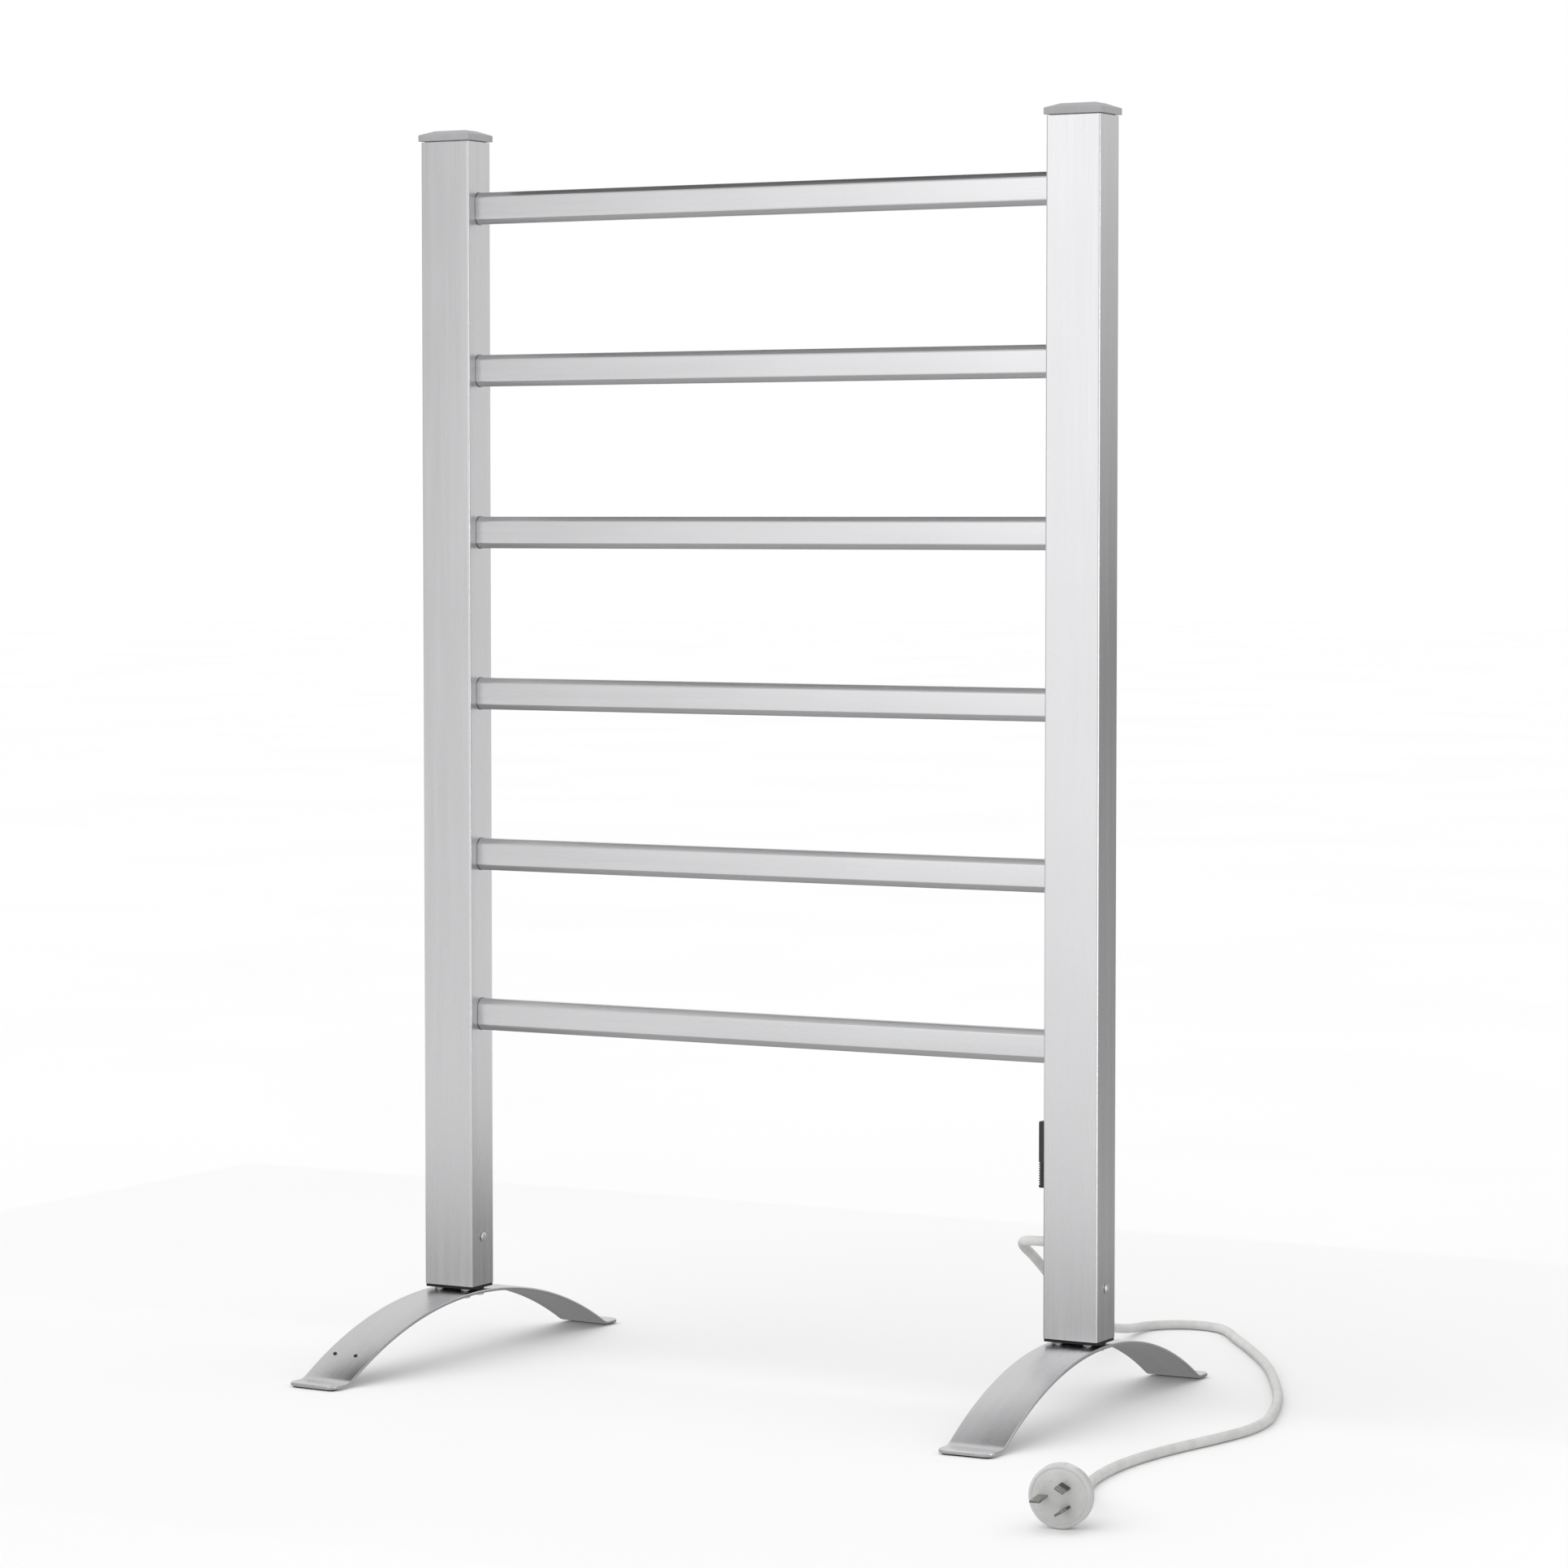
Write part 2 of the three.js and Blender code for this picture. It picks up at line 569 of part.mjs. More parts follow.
// ---- strain relief, lead and plug ----
function makeStrainRelief() {
  const { barrelR, barrelIn, flangeR, flangeH, nose, noseR } = GLAND;
  const profile = [
    [0, -barrelIn],
    [barrelR - 1.2, -barrelIn],
    [barrelR, -barrelIn + 4],
    [barrelR, GAP],
    [flangeR, GAP],
    [flangeR, GAP + flangeH - 0.6],
    [flangeR - 0.9, GAP + flangeH],
    [barrelR, GAP + flangeH],
    [noseR, GAP + flangeH + nose - GAP],
    [0, GAP + flangeH + nose - GAP],
  ];
  const mesh = add("cord_strain_relief", turned(profile, 20), LEAD_WHITE);
  mesh.rotation.y = -Math.PI / 2;
  mesh.position.set(INNER_FACE, GLAND.y, GLAND.z);
}

function makeCord() {
  const path = new THREE.CatmullRomCurve3(CORD_ROUTE.map((p) => new THREE.Vector3(...p)));
  path.arcLengthDivisions = 1000;
  add("power_cord", tube(path, 78, CORD_D / 2, 10), LEAD_WHITE);
}

function makePlug() {
  const lean = THREE.MathUtils.degToRad(PLUG.tilt);
  const [hx, hy] = PLUG.facing;
  const out = new THREE.Vector3(hx * Math.cos(lean), hy * Math.cos(lean), Math.sin(lean));
  const up = new THREE.Vector3(-hx * Math.sin(lean), -hy * Math.sin(lean), Math.cos(lean));
  const right = new THREE.Vector3().crossVectors(up, out);
  const group = new THREE.Group();
  // The plug rests on the lower back edge of its rim.
  const height = PLUG.r * Math.cos(lean) + PLUG.rim * Math.sin(lean) + 0.1;
  group.applyMatrix4(new THREE.Matrix4().makeBasis(right, up, out).setPosition(...PLUG.face, height));
  rail.add(group);

  const profile = [
    [0, -PLUG.length],
    [4.3, -PLUG.length],
    [5.6, -28],
    [9, -23],
    [12.5, -16.5],
    [15.5, -11.5],
    [PLUG.r - 1.2, -PLUG.rim - 1.2],
    [PLUG.r, -PLUG.rim],
    [PLUG.r, -1.2],
    [PLUG.r - 1.2, 0],
    [0, 0],
  ];
  add("plug_body", turned(profile, 36), PLUG_WHITE, group);

  const blade = (length) => box(-PIN.w / 2, PIN.w / 2, -PIN.t / 2, PIN.t / 2, GAP, length);
  const pins = [
    ["plug_pin_earth", PIN.earth, PIN.earthR, 180, 0],
    ["plug_pin_active", PIN.phase, PIN.phaseR, 60, 90],
    ["plug_pin_neutral", PIN.phase, PIN.phaseR, -60, 90],
  ];
  for (const [name, length, r, place, turn] of pins) {
    const a = THREE.MathUtils.degToRad(place);
    const mesh = add(name, blade(length), NICKEL, group);
    mesh.position.set(r * Math.cos(a), r * Math.sin(a), 0);
    mesh.rotation.z = a + THREE.MathUtils.degToRad(turn);
  }
}

// ---- heating cable and wiring, inside the posts and bars ----
const BLOCK = { x0: 249.5, x1: 263.5, halfW: 8, z0: 124.5, z1: 144.5 };
const CABLE_R = 2.2;
const LINK_X = postX(1) + 4; // where the cable turns from one bar to the next, inside the posts
const RISER = { x: postX(1) + 11.5, y: 6 };

function makeHeatingCable() {
  const last = BAR_COUNT - 1;
  const start = BLOCK.z1 + GAP;
  const points = [
    [RISER.x, -RISER.y, start],
    [RISER.x, -RISER.y, barZ(0) - 30],
    [LINK_X + 5, 0, barZ(0)],
  ];
  for (let i = 0; i < last; i++) {
    const side = i % 2 ? 1 : -1;
    points.push([side * LINK_X, 0, barZ(i)], [side * LINK_X, 0, barZ(i + 1)]);
  }
  points.push(
    [LINK_X + 4, 0, barZ(last)],
    [RISER.x, RISER.y, barZ(last) - 30],
    [RISER.x, RISER.y, start],
  );
  const path = roundedPath(points, 9);
  add("heating_cable", tube(path, path.stations.length - 1, CABLE_R, 8), SILICONE);
}

function makeWiring() {
  const block = box(BLOCK.x0, BLOCK.x1, -BLOCK.halfW, BLOCK.halfW, BLOCK.z0, BLOCK.z1);
  add("terminal_block", block, NYLON);

  const cutout = { x: 240, y: 7.6, z: 220.5, r: 2.6, halfLength: 6 };
  const can = rod(cutout.r, -cutout.halfLength, cutout.halfLength).rotateY(Math.PI / 2);
  add("thermal_cutout", can, NYLON).position.set(cutout.x, cutout.y, cutout.z);
  const cutoutStart = cutout.x - cutout.halfLength - GAP;
  const cutoutEnd = cutout.x + cutout.halfLength + GAP;

  const tag = { y: POST_D / 2 - POST_WALL - GAP, x: 240, z: 132.5 };
  const ring = turned([[1.8, 0], [3.8, 0], [3.8, 0.8], [1.8, 0.8], [1.8, 0]], 14);
  add("earth_tag", ring.rotateX(Math.PI / 2).translate(tag.x, tag.y, tag.z), BRASS);
  const stud = turned(
    [[0, 0], [1.5, 0], [1.5, 1.1], [3, 1.1], [3, 3], [1.5, 3], [1.5, 4], [0, 4]],
    6,
  );
  add("earth_stud", stud.rotateX(Math.PI / 2).translate(tag.x, tag.y, tag.z), ZINC);

  const coreX = INNER_FACE + GLAND.barrelIn + GAP;
  const tabEnd = INNER_FACE + SWITCH.bodyDepth + GAP + TAB.length + GAP;
  const wires = {
    wire_live: [
      [coreX, 8.2, 115.8], [coreX + 1.6, 8.3, 116], [246.2, 8.4, 121], [247.2, 8.4, 128.5],
      [247, 9.4, 144.5], [250, 9.4, 152.5], [255.6, 6, 157.5], [257, 1.6, 162.1],
      [tabEnd + 2, 0, TAB.zs.live], [tabEnd, 0, TAB.zs.live],
    ],
    wire_neutral: [
      [coreX, 3.8, 115.8], [247, 3, 116.8], [252.4, 2.2, 119.4], [253, 2, BLOCK.z0 - GAP],
    ],
    wire_earth: [
      [coreX, 6, 111.8], [246, 6.8, 111.2], [249, 9.8, 116.4], [246, 11, 124.5],
      [tag.x + 4.6, 11.6, tag.z],
    ],
    wire_switched: [
      [tabEnd, 0, TAB.zs.load], [tabEnd + 2, 0, TAB.zs.load + 0.4], [256.4, 0, 186.5],
      [255.6, 1, 202.5], [253, 5.6, 216.5], [249, cutout.y, cutout.z],
      [cutoutEnd, cutout.y, cutout.z],
    ],
    wire_element: [
      [cutoutStart, cutout.y, cutout.z], [232.4, 7.5, 220.1], [231.2, 7.2, 217.1],
      [232, 6.6, 209.5], [238, 6.6, 203.5], [247, 9.8, 199.5], [248, 10.4, 184.5],
      [248, 10.8, 164.5], [251, 10.8, 154.5], [256, 8.6, 150.1], [256.5, 3.8, 148.5],
      [256.5, 3.4, BLOCK.z1 + 2], [256.5, 3.4, BLOCK.z1 + GAP],
    ],
  };
  for (const [name, points] of Object.entries(wires)) {
    const path = new THREE.CatmullRomCurve3(points.map((p) => new THREE.Vector3(...p)));
    add(name, tube(path, 2 * (points.length - 1), 0.9, 6), NYLON);
  }
}

makeBars();
for (const [name, side] of Object.entries(SIDES)) {
  makePost(`${name}_post`, side);
  makeCap(`${name}_top_cap`, side);
  makeBasePlug(`${name}_base_plug`, side);
  makeFoot(`${name}_foot`, side);
}
makeRivets();
makePads();
makeFootBolts();
makeSideScrews();
makeSwitch();
makeStrainRelief();
makeCord();
makePlug();
makeHeatingCable();
makeWiring();

export default rail;
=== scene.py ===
"""Looks of a freestanding heated towel rail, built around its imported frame."""

import math

import bmesh
import bpy
from bpy.props import FloatProperty, FloatVectorProperty, IntProperty, PointerProperty
from mathutils import Matrix, Vector


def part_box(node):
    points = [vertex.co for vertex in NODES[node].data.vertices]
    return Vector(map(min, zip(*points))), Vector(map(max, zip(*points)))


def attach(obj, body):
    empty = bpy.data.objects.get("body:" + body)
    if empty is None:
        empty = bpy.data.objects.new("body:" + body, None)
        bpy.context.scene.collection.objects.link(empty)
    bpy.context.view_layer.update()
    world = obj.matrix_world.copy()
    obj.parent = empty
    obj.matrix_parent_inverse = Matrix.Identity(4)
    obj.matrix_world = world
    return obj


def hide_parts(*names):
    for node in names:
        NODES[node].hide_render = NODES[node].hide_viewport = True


bl_info = {
    "name": "Towel Warmer Rack",
    "version": (1, 0, 0),
    "blender": (4, 5, 0),
    "location": "3D View > Sidebar > Towel Rail",
    "description": "Builds the surfaces and finishes of a heated towel rail",
    "category": "Object",
}

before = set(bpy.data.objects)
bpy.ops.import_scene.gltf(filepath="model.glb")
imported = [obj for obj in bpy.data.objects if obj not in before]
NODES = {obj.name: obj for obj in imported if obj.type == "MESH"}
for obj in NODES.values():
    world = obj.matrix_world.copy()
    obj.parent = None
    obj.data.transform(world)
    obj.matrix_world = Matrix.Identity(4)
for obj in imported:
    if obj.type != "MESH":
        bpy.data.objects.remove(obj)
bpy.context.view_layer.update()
MM = 0.001

SIDES = {"left": -1, "right": 1}
POST_X = 248 * MM
INNER_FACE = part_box("right_post")[0].x

FOOT_HALF_LENGTH, FOOT_HALF_WIDTH, FOOT_THICKNESS = 176 * MM, 20.15 * MM, 2.4 * MM
FOOT_ARC, FOOT_FLARE, FOOT_CORNER = 305 * MM, 14 * MM, 6 * MM
BAR_BEVEL_HEIGHT, BAR_BEVEL_DEPTH = 3.8 * MM, 3.6 * MM
CAP_RIM, CAP_CROWN = 4.6 * MM, 3.1 * MM
CAP_STUB = (36.4 * MM, 25.1 * MM)
ROCKER_AXIS = Vector((INNER_FACE - 2.5 * MM, 0, 184.1 * MM))
ROCKER_TILT = math.radians(-8)
PLUG_FACE = (0.4059, -0.3524, 19.7 * MM)
PLUG_OUT = Vector((0.1852, -0.9827, 0))
PIN_WIDTH, PIN_THICKNESS = 6.35, 1.63

WORLD_LIGHT, SUN_LIGHT, SUN_SPREAD = 0.85, 1.05, math.radians(80)
SUN_WAY = Vector((0.35, 0.45, -0.82))
WALL_RADIUS = 25
# Cards that show only in reflections: the middle, the half-sides, of which the one across the
# card is 0, and the brightness at the upper or rear left and right corners, then at the others.
CARDS = {
    "front_card": ((-1.425, -1.6, 0.5), (1.175, 0, 0.9), (0.0, 2.35, 0.85, 1.05)),
    "corner_card": ((1.19, -0.4, 0.5), (0.2, 0, 0.5), (6, 6, 6, 6)),
    "side_card_high": ((0.72, 0.55, 0.9), (0.45, 0, 0.4), (1.2, 1.2, 0.34, 0.34)),
    "side_card_low": ((0.72, 0.55, 0.0), (0.45, 0, 0.5), (0.34, 0.34, 0.6, 0.6)),
    "ceiling_card": ((-0.8, 0.2, 2.2), (1.4, 0.45, 0), (0.05, 0.05, 0.05, 0.05)),
    "floor_card_front": ((-0.2, -0.27, 0.0002), (0.8, 0.33, 0), (0.5, 0.5, 0.5, 0.5)),
    # Painted shade: the rear floor card is darker, so reflections show the floor behind the rail as
    # if in its shadow.
    "floor_card_rear": ((-0.2, 0.43, 0.0002), (0.8, 0.37, 0), (0.27, 0.27, 0.27, 0.27)),
}

# The lead's route from the strain relief to the plug's tail, in metres.
LEAD_ROUTE = [
    (0.2216, 0.006, 0.1142),
    (0.217, 0.00625, 0.1142),
    (0.2107, 0.0078, 0.1139),
    (0.2027, 0.0121, 0.1128),
    (0.1966, 0.0188, 0.1107),
    (0.193, 0.026, 0.1077),
    (0.1915, 0.033, 0.1043),
    (0.1902, 0.048, 0.0966),
    (0.187, 0.078, 0.0798),
    (0.1775, 0.126, 0.0546),
    (0.1652, 0.182, 0.0334),
    (0.153, 0.247, 0.0164),
    (0.1458, 0.29, 0.0084),
    (0.1417, 0.3178, 0.0049),
    (0.1422, 0.3307, 0.0041),
    (0.1474, 0.3424, 0.0036),
    (0.1566, 0.3513, 0.0035),
    (0.1685, 0.3562, 0.0035),
    (0.1813, 0.3564, 0.0035),
    (0.1933, 0.3518, 0.0035),
    (0.2032, 0.3426, 0.0035),
    (0.224, 0.314, 0.0035),
    (0.251, 0.277, 0.0035),
    (0.286, 0.225, 0.0035),
    (0.319, 0.165, 0.0035),
    (0.3475, 0.106, 0.0035),
    (0.367, 0.054, 0.0035),
    (0.377, 0.018, 0.0035),
    (0.3795, -0.016, 0.0035),
    (0.374, -0.054, 0.0035),
    (0.3645, -0.098, 0.0035),
    (0.3588, -0.142, 0.0035),
    (0.3588, -0.18, 0.0035),
    (0.3645, -0.22, 0.0035),
    (0.3723, -0.245, 0.0036),
    (0.38, -0.264, 0.0067),
    (0.388, -0.281, 0.0126),
    (0.3941, -0.2945, 0.0172),
    (0.397, -0.3038, 0.0193),
    (0.39807, -0.31085, 0.0197),
]


# ---- settings ----
def tone(name, description, default):
    return FloatVectorProperty(
        name=name, description=description, default=default, subtype="COLOR", min=0, max=1
    )


class MetalSettings(bpy.types.PropertyGroup):
    post_tone: tone("Post Tone", "Colour of the posts' aluminium", (0.64, 0.64, 0.65))
    bar_tone: tone("Bar Tone", "Colour of the bars' aluminium", (0.65, 0.65, 0.66))
    foot_tone: tone("Foot Tone", "Colour of the feet's aluminium", (0.68, 0.68, 0.69))
    screw_tone: tone("Screw Tone", "Colour of the zinc plate", (0.78, 0.78, 0.76))
    roughness: FloatProperty(
        name="Roughness",
        description="How blurred the brushed metal's reflections are",
        default=0.29,
        min=0.05,
        max=1,
        subtype="FACTOR",
    )
    brush_pitch: FloatProperty(
        name="Brush Pitch",
        description="Width of the finest brushing lines",
        default=0.0005,
        min=0.0001,
        max=0.01,
        unit="LENGTH",
        precision=5,
    )
    brush_length: FloatProperty(
        name="Brush Length",
        description="Length of a brushing line",
        default=0.09,
        min=0.005,
        max=1,
        unit="LENGTH",
    )


class PlasticSettings(bpy.types.PropertyGroup):
    cap_tone: tone("Cap Tone", "Colour of the top caps", (0.36, 0.36, 0.37))
    black_tone: tone("Black Tone", "Colour of the switch and the base plugs", (0.013, 0.013, 0.014))
    rubber_tone: tone("Rubber Tone", "Colour of the foot pads", (0.016, 0.016, 0.016))
    grain: FloatProperty(
        name="Grain",
        description="Size of the moulded grain",
        default=0.0006,
        min=0.0001,
        max=0.01,
        unit="LENGTH",
        precision=5,
    )


class LeadSettings(bpy.types.PropertyGroup):
    lead_tone: tone("Lead Tone", "Colour of the lead and its strain relief", (0.62, 0.62, 0.61))
    plug_tone: tone("Plug Tone", "Colour of the plug's body", (0.56, 0.56, 0.555))
    diameter: FloatProperty(
        name="Diameter",
        description="Outer diameter of the lead",
        default=0.0068,
        min=0.004,
        max=0.012,
        unit="LENGTH",
        precision=4,
    )
    relief_ribs: IntProperty(
        name="Relief Ribs", description="Ribs round the plug's tail", default=6, min=2, max=12
    )


class StageSettings(bpy.types.PropertyGroup):
    floor_tone: tone("Floor Tone", "Colour of the floor", (0.9, 0.9, 0.9))
    floor_size: FloatProperty(
        name="Floor Size",
        description="Side of the square floor",
        default=60,
        min=2,
        max=500,
        unit="LENGTH",
    )
    lens: FloatProperty(
        name="Lens", description="Focal length, in millimetres", default=114.56, min=20, max=300
    )
    yaw: FloatProperty(
        name="Yaw",
        description="Camera's turn to the left from straight on",
        default=math.radians(29.226),
        subtype="ANGLE",
        unit="ROTATION",
    )
    pitch: FloatProperty(
        name="Pitch",
        description="Camera's tilt down from level",
        default=math.radians(3.068),
        subtype="ANGLE",
        unit="ROTATION",
    )
    camera_place: FloatVectorProperty(
        name="Camera Place",
        description="Where the camera stands",
        default=(1.7033, -3.0079, 0.604),
        subtype="XYZ",
        unit="LENGTH",
        size=3,
    )


# ---- mesh helpers ----
def round_corner(before, corner, after, radius, steps):
    """Points along a small curve that cuts off one corner of a 2D outline."""
    corner = Vector(corner)
    before = Vector(before) - corner
    after = Vector(after) - corner
    # Two corners share each edge, so neither takes as much as half of it.
    r = min(radius, before.length * 0.45, after.length * 0.45)
    start = corner + before.normalized() * r
    end = corner + after.normalized() * r
    made = []
    for k in range(steps + 1):
        t = k / steps
        made.append(tuple(start * (1 - t) ** 2 + corner * 2 * t * (1 - t) + end * t * t))
    return made


def ease(points, radius, steps=4):
    """The closed 2D outline with each of its corners rounded."""
    made = []
    for i, corner in enumerate(points):
        made += round_corner(points[i - 1], corner, points[(i + 1) % len(points)], radius, steps)
    return made


def ease_open(points, radius, steps=4):
    """An open outline whose inner corners are rounded and whose ends stay."""
    made = [tuple(points[0])]
    for before, corner, after in zip(points, points[1:], points[2:]):
        made += round_corner(before, corner, after, radius, steps)
    return made + [tuple(points[-1])]


def rounded_rect(width, depth, radius, steps=6):
    """A rounded rectangle's outline, counter-clockwise."""
    made = []
    x, y = width / 2 - radius, depth / 2 - radius
    for cx, cy, start in ((x, y, 0), (-x, y, 90), (-x, -y, 180), (x, -y, 270)):
        for k in range(steps + 1):
            a = math.radians(start + 90 * k / steps)
            made.append((cx + radius * math.cos(a), cy + radius * math.sin(a)))
    return made


def loft(rings, closed=False):
    """A mesh through rings of equal length, with its ends capped unless it closes on itself."""
    mesh = bmesh.new()
    rows = [[mesh.verts.new(p) for p in ring] for ring in rings]
    count = len(rows[0])
    pairs = list(zip(rows, rows[1:]))
    if closed:
        pairs.append((rows[-1], rows[0]))
    for low, high in pairs:
        for k in range(count):
            n = (k + 1) % count
            mesh.faces.new((low[k], low[n], high[n], high[k]))
    if not closed:
        mesh.faces.new(list(reversed(rows[0])))
        mesh.faces.new(rows[-1])
    bmesh.ops.recalc_face_normals(mesh, faces=mesh.faces)
    return mesh


def turned(profile, sides=48):
    """A solid of revolution about Z from (radius, height) pairs, closed on the axis."""
    mesh = bmesh.new()
    rows = []
    for r, z in profile:
        if r < 1e-7:
            rows.append([mesh.verts.new((0, 0, z))])
        else:
            angles = [2 * math.pi * k / sides for k in range(sides)]
            rows.append([mesh.verts.new((r * math.cos(a), r * math.sin(a), z)) for a in angles])
    for low, high in zip(rows, rows[1:]):
        for k in range(sides):
            n = (k + 1) % sides
            if len(low) == 1:
                mesh.faces.new((low[0], high[n], high[k]))
            elif len(high) == 1:
                mesh.faces.new((low[k], low[n], high[0]))
            else:
                mesh.faces.new((low[k], low[n], high[n], high[k]))
    bmesh.ops.recalc_face_normals(mesh, faces=mesh.faces)
    return mesh


def place(name, mesh, finish, body="frame", at=None, replaces=(), sharp=35):
    """Makes an object of a bmesh that rides on a body and stands for CAD nodes."""
    if at is not None:
        mesh.transform(at)
    data = bpy.data.meshes.new(name)
    mesh.to_mesh(data)
    mesh.free()
    data.shade_smooth()
    data.set_sharp_from_angle(angle=math.radians(sharp))
    for one in finish if isinstance(finish, list) else [finish]:
        data.materials.append(one)
    piece = bpy.data.objects.new(name, data)
    bpy.context.scene.collection.objects.link(piece)
    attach(piece, body)
    if replaces:
        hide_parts(*replaces)
    return piece


def dress(node, finish, edge=None, sharp=32):
    """Gives a CAD node its finish, and eased edges or smooth shading by modifiers."""
    piece = NODES[node]
    piece.data.materials.clear()
    piece.data.materials.append(finish)
    if "custom_normal" in piece.data.attributes:
        piece.data.attributes.remove(piece.data.attributes["custom_normal"])
    piece.data.shade_smooth()
    weld = piece.modifiers.new("Weld", "WELD")
    weld.merge_threshold = 1e-6
    if edge:
        bevel = piece.modifiers.new("Eased Edges", "BEVEL")
        bevel.width = edge
        bevel.segments = 2
        bevel.limit_method = "ANGLE"
        bevel.angle_limit = math.radians(sharp)
    split = piece.modifiers.new("Crisp Corners", "EDGE_SPLIT")
    split.split_angle = math.radians(sharp)
    piece.modifiers.new("Even Shading", "WEIGHTED_NORMAL")
    return piece


# ---- shader helpers ----
class Shade:
    """A value in a material's node tree, with Python's operators as Math nodes."""

    def __init__(self, finish, socket):
        self.finish = finish
        self.socket = socket

    def math(self, operation, *values):
        return self.finish.node("ShaderNodeMath", {"operation": operation}, values)

    def __add__(self, other):
        return self.math("ADD", self, other)

    def __sub__(self, other):
        return self.math("SUBTRACT", self, other)

    def __mul__(self, other):
        return self.math("MULTIPLY", self, other)

    def __rsub__(self, other):
        return self.math("SUBTRACT", other, self)

    __radd__ = __add__
    __rmul__ = __mul__


class Finish:
    """A Principled material. Constants are set on the shader, and varying values are linked."""

    def __init__(self, name, **constants):
        self.material = bpy.data.materials.new(name)
        self.material.use_nodes = True
        self.tree = self.material.node_tree
        self.shader = self.tree.nodes["Principled BSDF"]
        for socket, value in constants.items():
            self.shader.inputs[socket.replace("_", " ")].default_value = value

    def node(self, kind, settings=None, sockets=None, output=0):
        """A node of that kind: its settings, then its sockets' values or links, then one output."""
        made = self.tree.nodes.new(kind)
        for key, value in (settings or {}).items():
            if key == "stops":
                ramp = made.color_ramp
                while len(ramp.elements) < len(value):
                    ramp.elements.new(1)
                for stop, (position, colour) in zip(ramp.elements, value):
                    stop.position = position
                    stop.color = (*colour, 1)
            else:
                setattr(made, key, value)
        pairs = sockets.items() if isinstance(sockets, dict) else enumerate(sockets or ())
        for key, value in pairs:
            if isinstance(value, Shade):
                self.tree.links.new(value.socket, made.inputs[key])
            else:
                made.inputs[key].default_value = value
        return Shade(self, made.outputs[output])

    def set(self, socket, value):
        self.tree.links.new(value.socket, self.shader.inputs[socket])

    def place(self):
        """Where a point lies on the object, in metres."""
        return self.node("ShaderNodeTexCoord", output="Object")

    def noise(self, where, size, detail=3.0, roughness=0.55, stretch=(1, 1, 1)):
        """Smooth noise with features of about that size, longer along a stretched axis."""
        scale = [1 / (size * s) for s in stretch]
        mapped = self.node(
            "ShaderNodeMapping", {"vector_type": "POINT"}, {"Vector": where, "Scale": scale}
        )
        sockets = {"Vector": mapped, "Scale": 1.0, "Detail": detail, "Roughness": roughness}
        return self.node("ShaderNodeTexNoise", {"noise_dimensions": "3D"}, sockets)

    def blend(self, factor, low, high):
        """A colour between two, by a factor."""
        made = self.tree.nodes.new("ShaderNodeMix")
        made.data_type = "RGBA"
        self.tree.links.new(factor.socket, made.inputs["Factor"])
        for name, value in (("A", low), ("B", high)):
            socket = [s for s in made.inputs if s.name == name and s.type == "RGBA"][0]
            if isinstance(value, Shade):
                self.tree.links.new(value.socket, socket)
            else:
                socket.default_value = (*value, 1)
        return Shade(self, [s for s in made.outputs if s.type == "RGBA"][0])

    def spread(self, value, low, high):
        """Maps noise, which stays near the middle, onto 0 to 1."""
        sockets = {"Value": value, "From Min": low, "From Max": high}
        return self.node("ShaderNodeMapRange", {"clamp": True}, sockets)

    def bump(self, height, strength, distance):
        sockets = {"Strength": strength, "Distance": distance, "Height": height}
        self.set("Normal", self.node("ShaderNodeBump", {}, sockets))


def scaled(colour, amount):
    return tuple(min(1.0, c * amount) for c in colour)


def brushed(name, colour, settings, along, band=0.005, contrast=0.06):
    """Satin aluminium with fine lines along one or two axes, and broader bands beside them."""
    finish = Finish(name, Metallic=1.0, Roughness=settings.roughness)
    where = finish.place()
    long = settings.brush_length / settings.brush_pitch
    fine_stretch = [long if i in along else 1 for i in range(3)]
    broad_stretch = [30 if i in along else 1 for i in range(3)]
    fine = finish.noise(where, settings.brush_pitch, 2, 0.6, fine_stretch)
    broad = finish.noise(where, band, 3, 0.5, broad_stretch)
    cloud = finish.noise(where, 0.16, 2, 0.5)
    lines = finish.spread(fine, 0.3, 0.7)
    bands = finish.spread(broad, 0.32, 0.68)
    mottle = finish.spread(cloud, 0.35, 0.65)
    wear = lines * 0.3 + bands * 0.4 + mottle * 0.3
    dull, bright = scaled(colour, 1 - contrast), scaled(colour, 1 + contrast)
    finish.set("Base Color", finish.blend(wear, dull, bright))
    finish.set("Roughness", bands * 0.05 + lines * 0.06 + (settings.roughness - 0.05))
    finish.bump(fine, 0.12, 0.00003)
    return finish.material


def moulded(name, colour, settings, roughness, depth=0.5, coat=0.0, gloss=0.5):
    """Plastic with a fine moulded grain and faint handling marks."""
    finish = Finish(name, Roughness=roughness, Coat_Weight=coat, Specular_IOR_Level=gloss)
    where = finish.place()
    grain = finish.noise(where, settings.grain, 2, 0.6)
    patches = finish.noise(where, 0.02, 4, 0.6)
    marks = finish.spread(patches, 0.35, 0.65)
    fine = finish.spread(grain, 0.3, 0.7)
    shade = fine * 0.35 + marks * 0.65
    finish.set("Base Color", finish.blend(shade, scaled(colour, 0.9), scaled(colour, 1.08)))
    finish.set("Roughness", marks * 0.1 + fine * 0.06 + (roughness - 0.08))
    finish.bump(grain, depth, 0.00004)
    return finish.material


def plated(name, colour, roughness):
    """Bright plate with a slight bloom and tiny scratches."""
    finish = Finish(name, Metallic=1.0, Roughness=roughness)
    where = finish.place()
    bloom = finish.spread(finish.noise(where, 0.0025, 4, 0.65), 0.35, 0.65)
    scratches = finish.spread(finish.noise(where, 0.0004, 2, 0.7, (1, 8, 3)), 0.35, 0.65)
    finish.set("Base Color", finish.blend(bloom, scaled(colour, 0.86), scaled(colour, 1.05)))
    finish.set("Roughness", scratches * 0.12 + bloom * 0.08 + (roughness - 0.08))
    finish.bump(scratches, 0.08, 0.00004)
    return finish.material


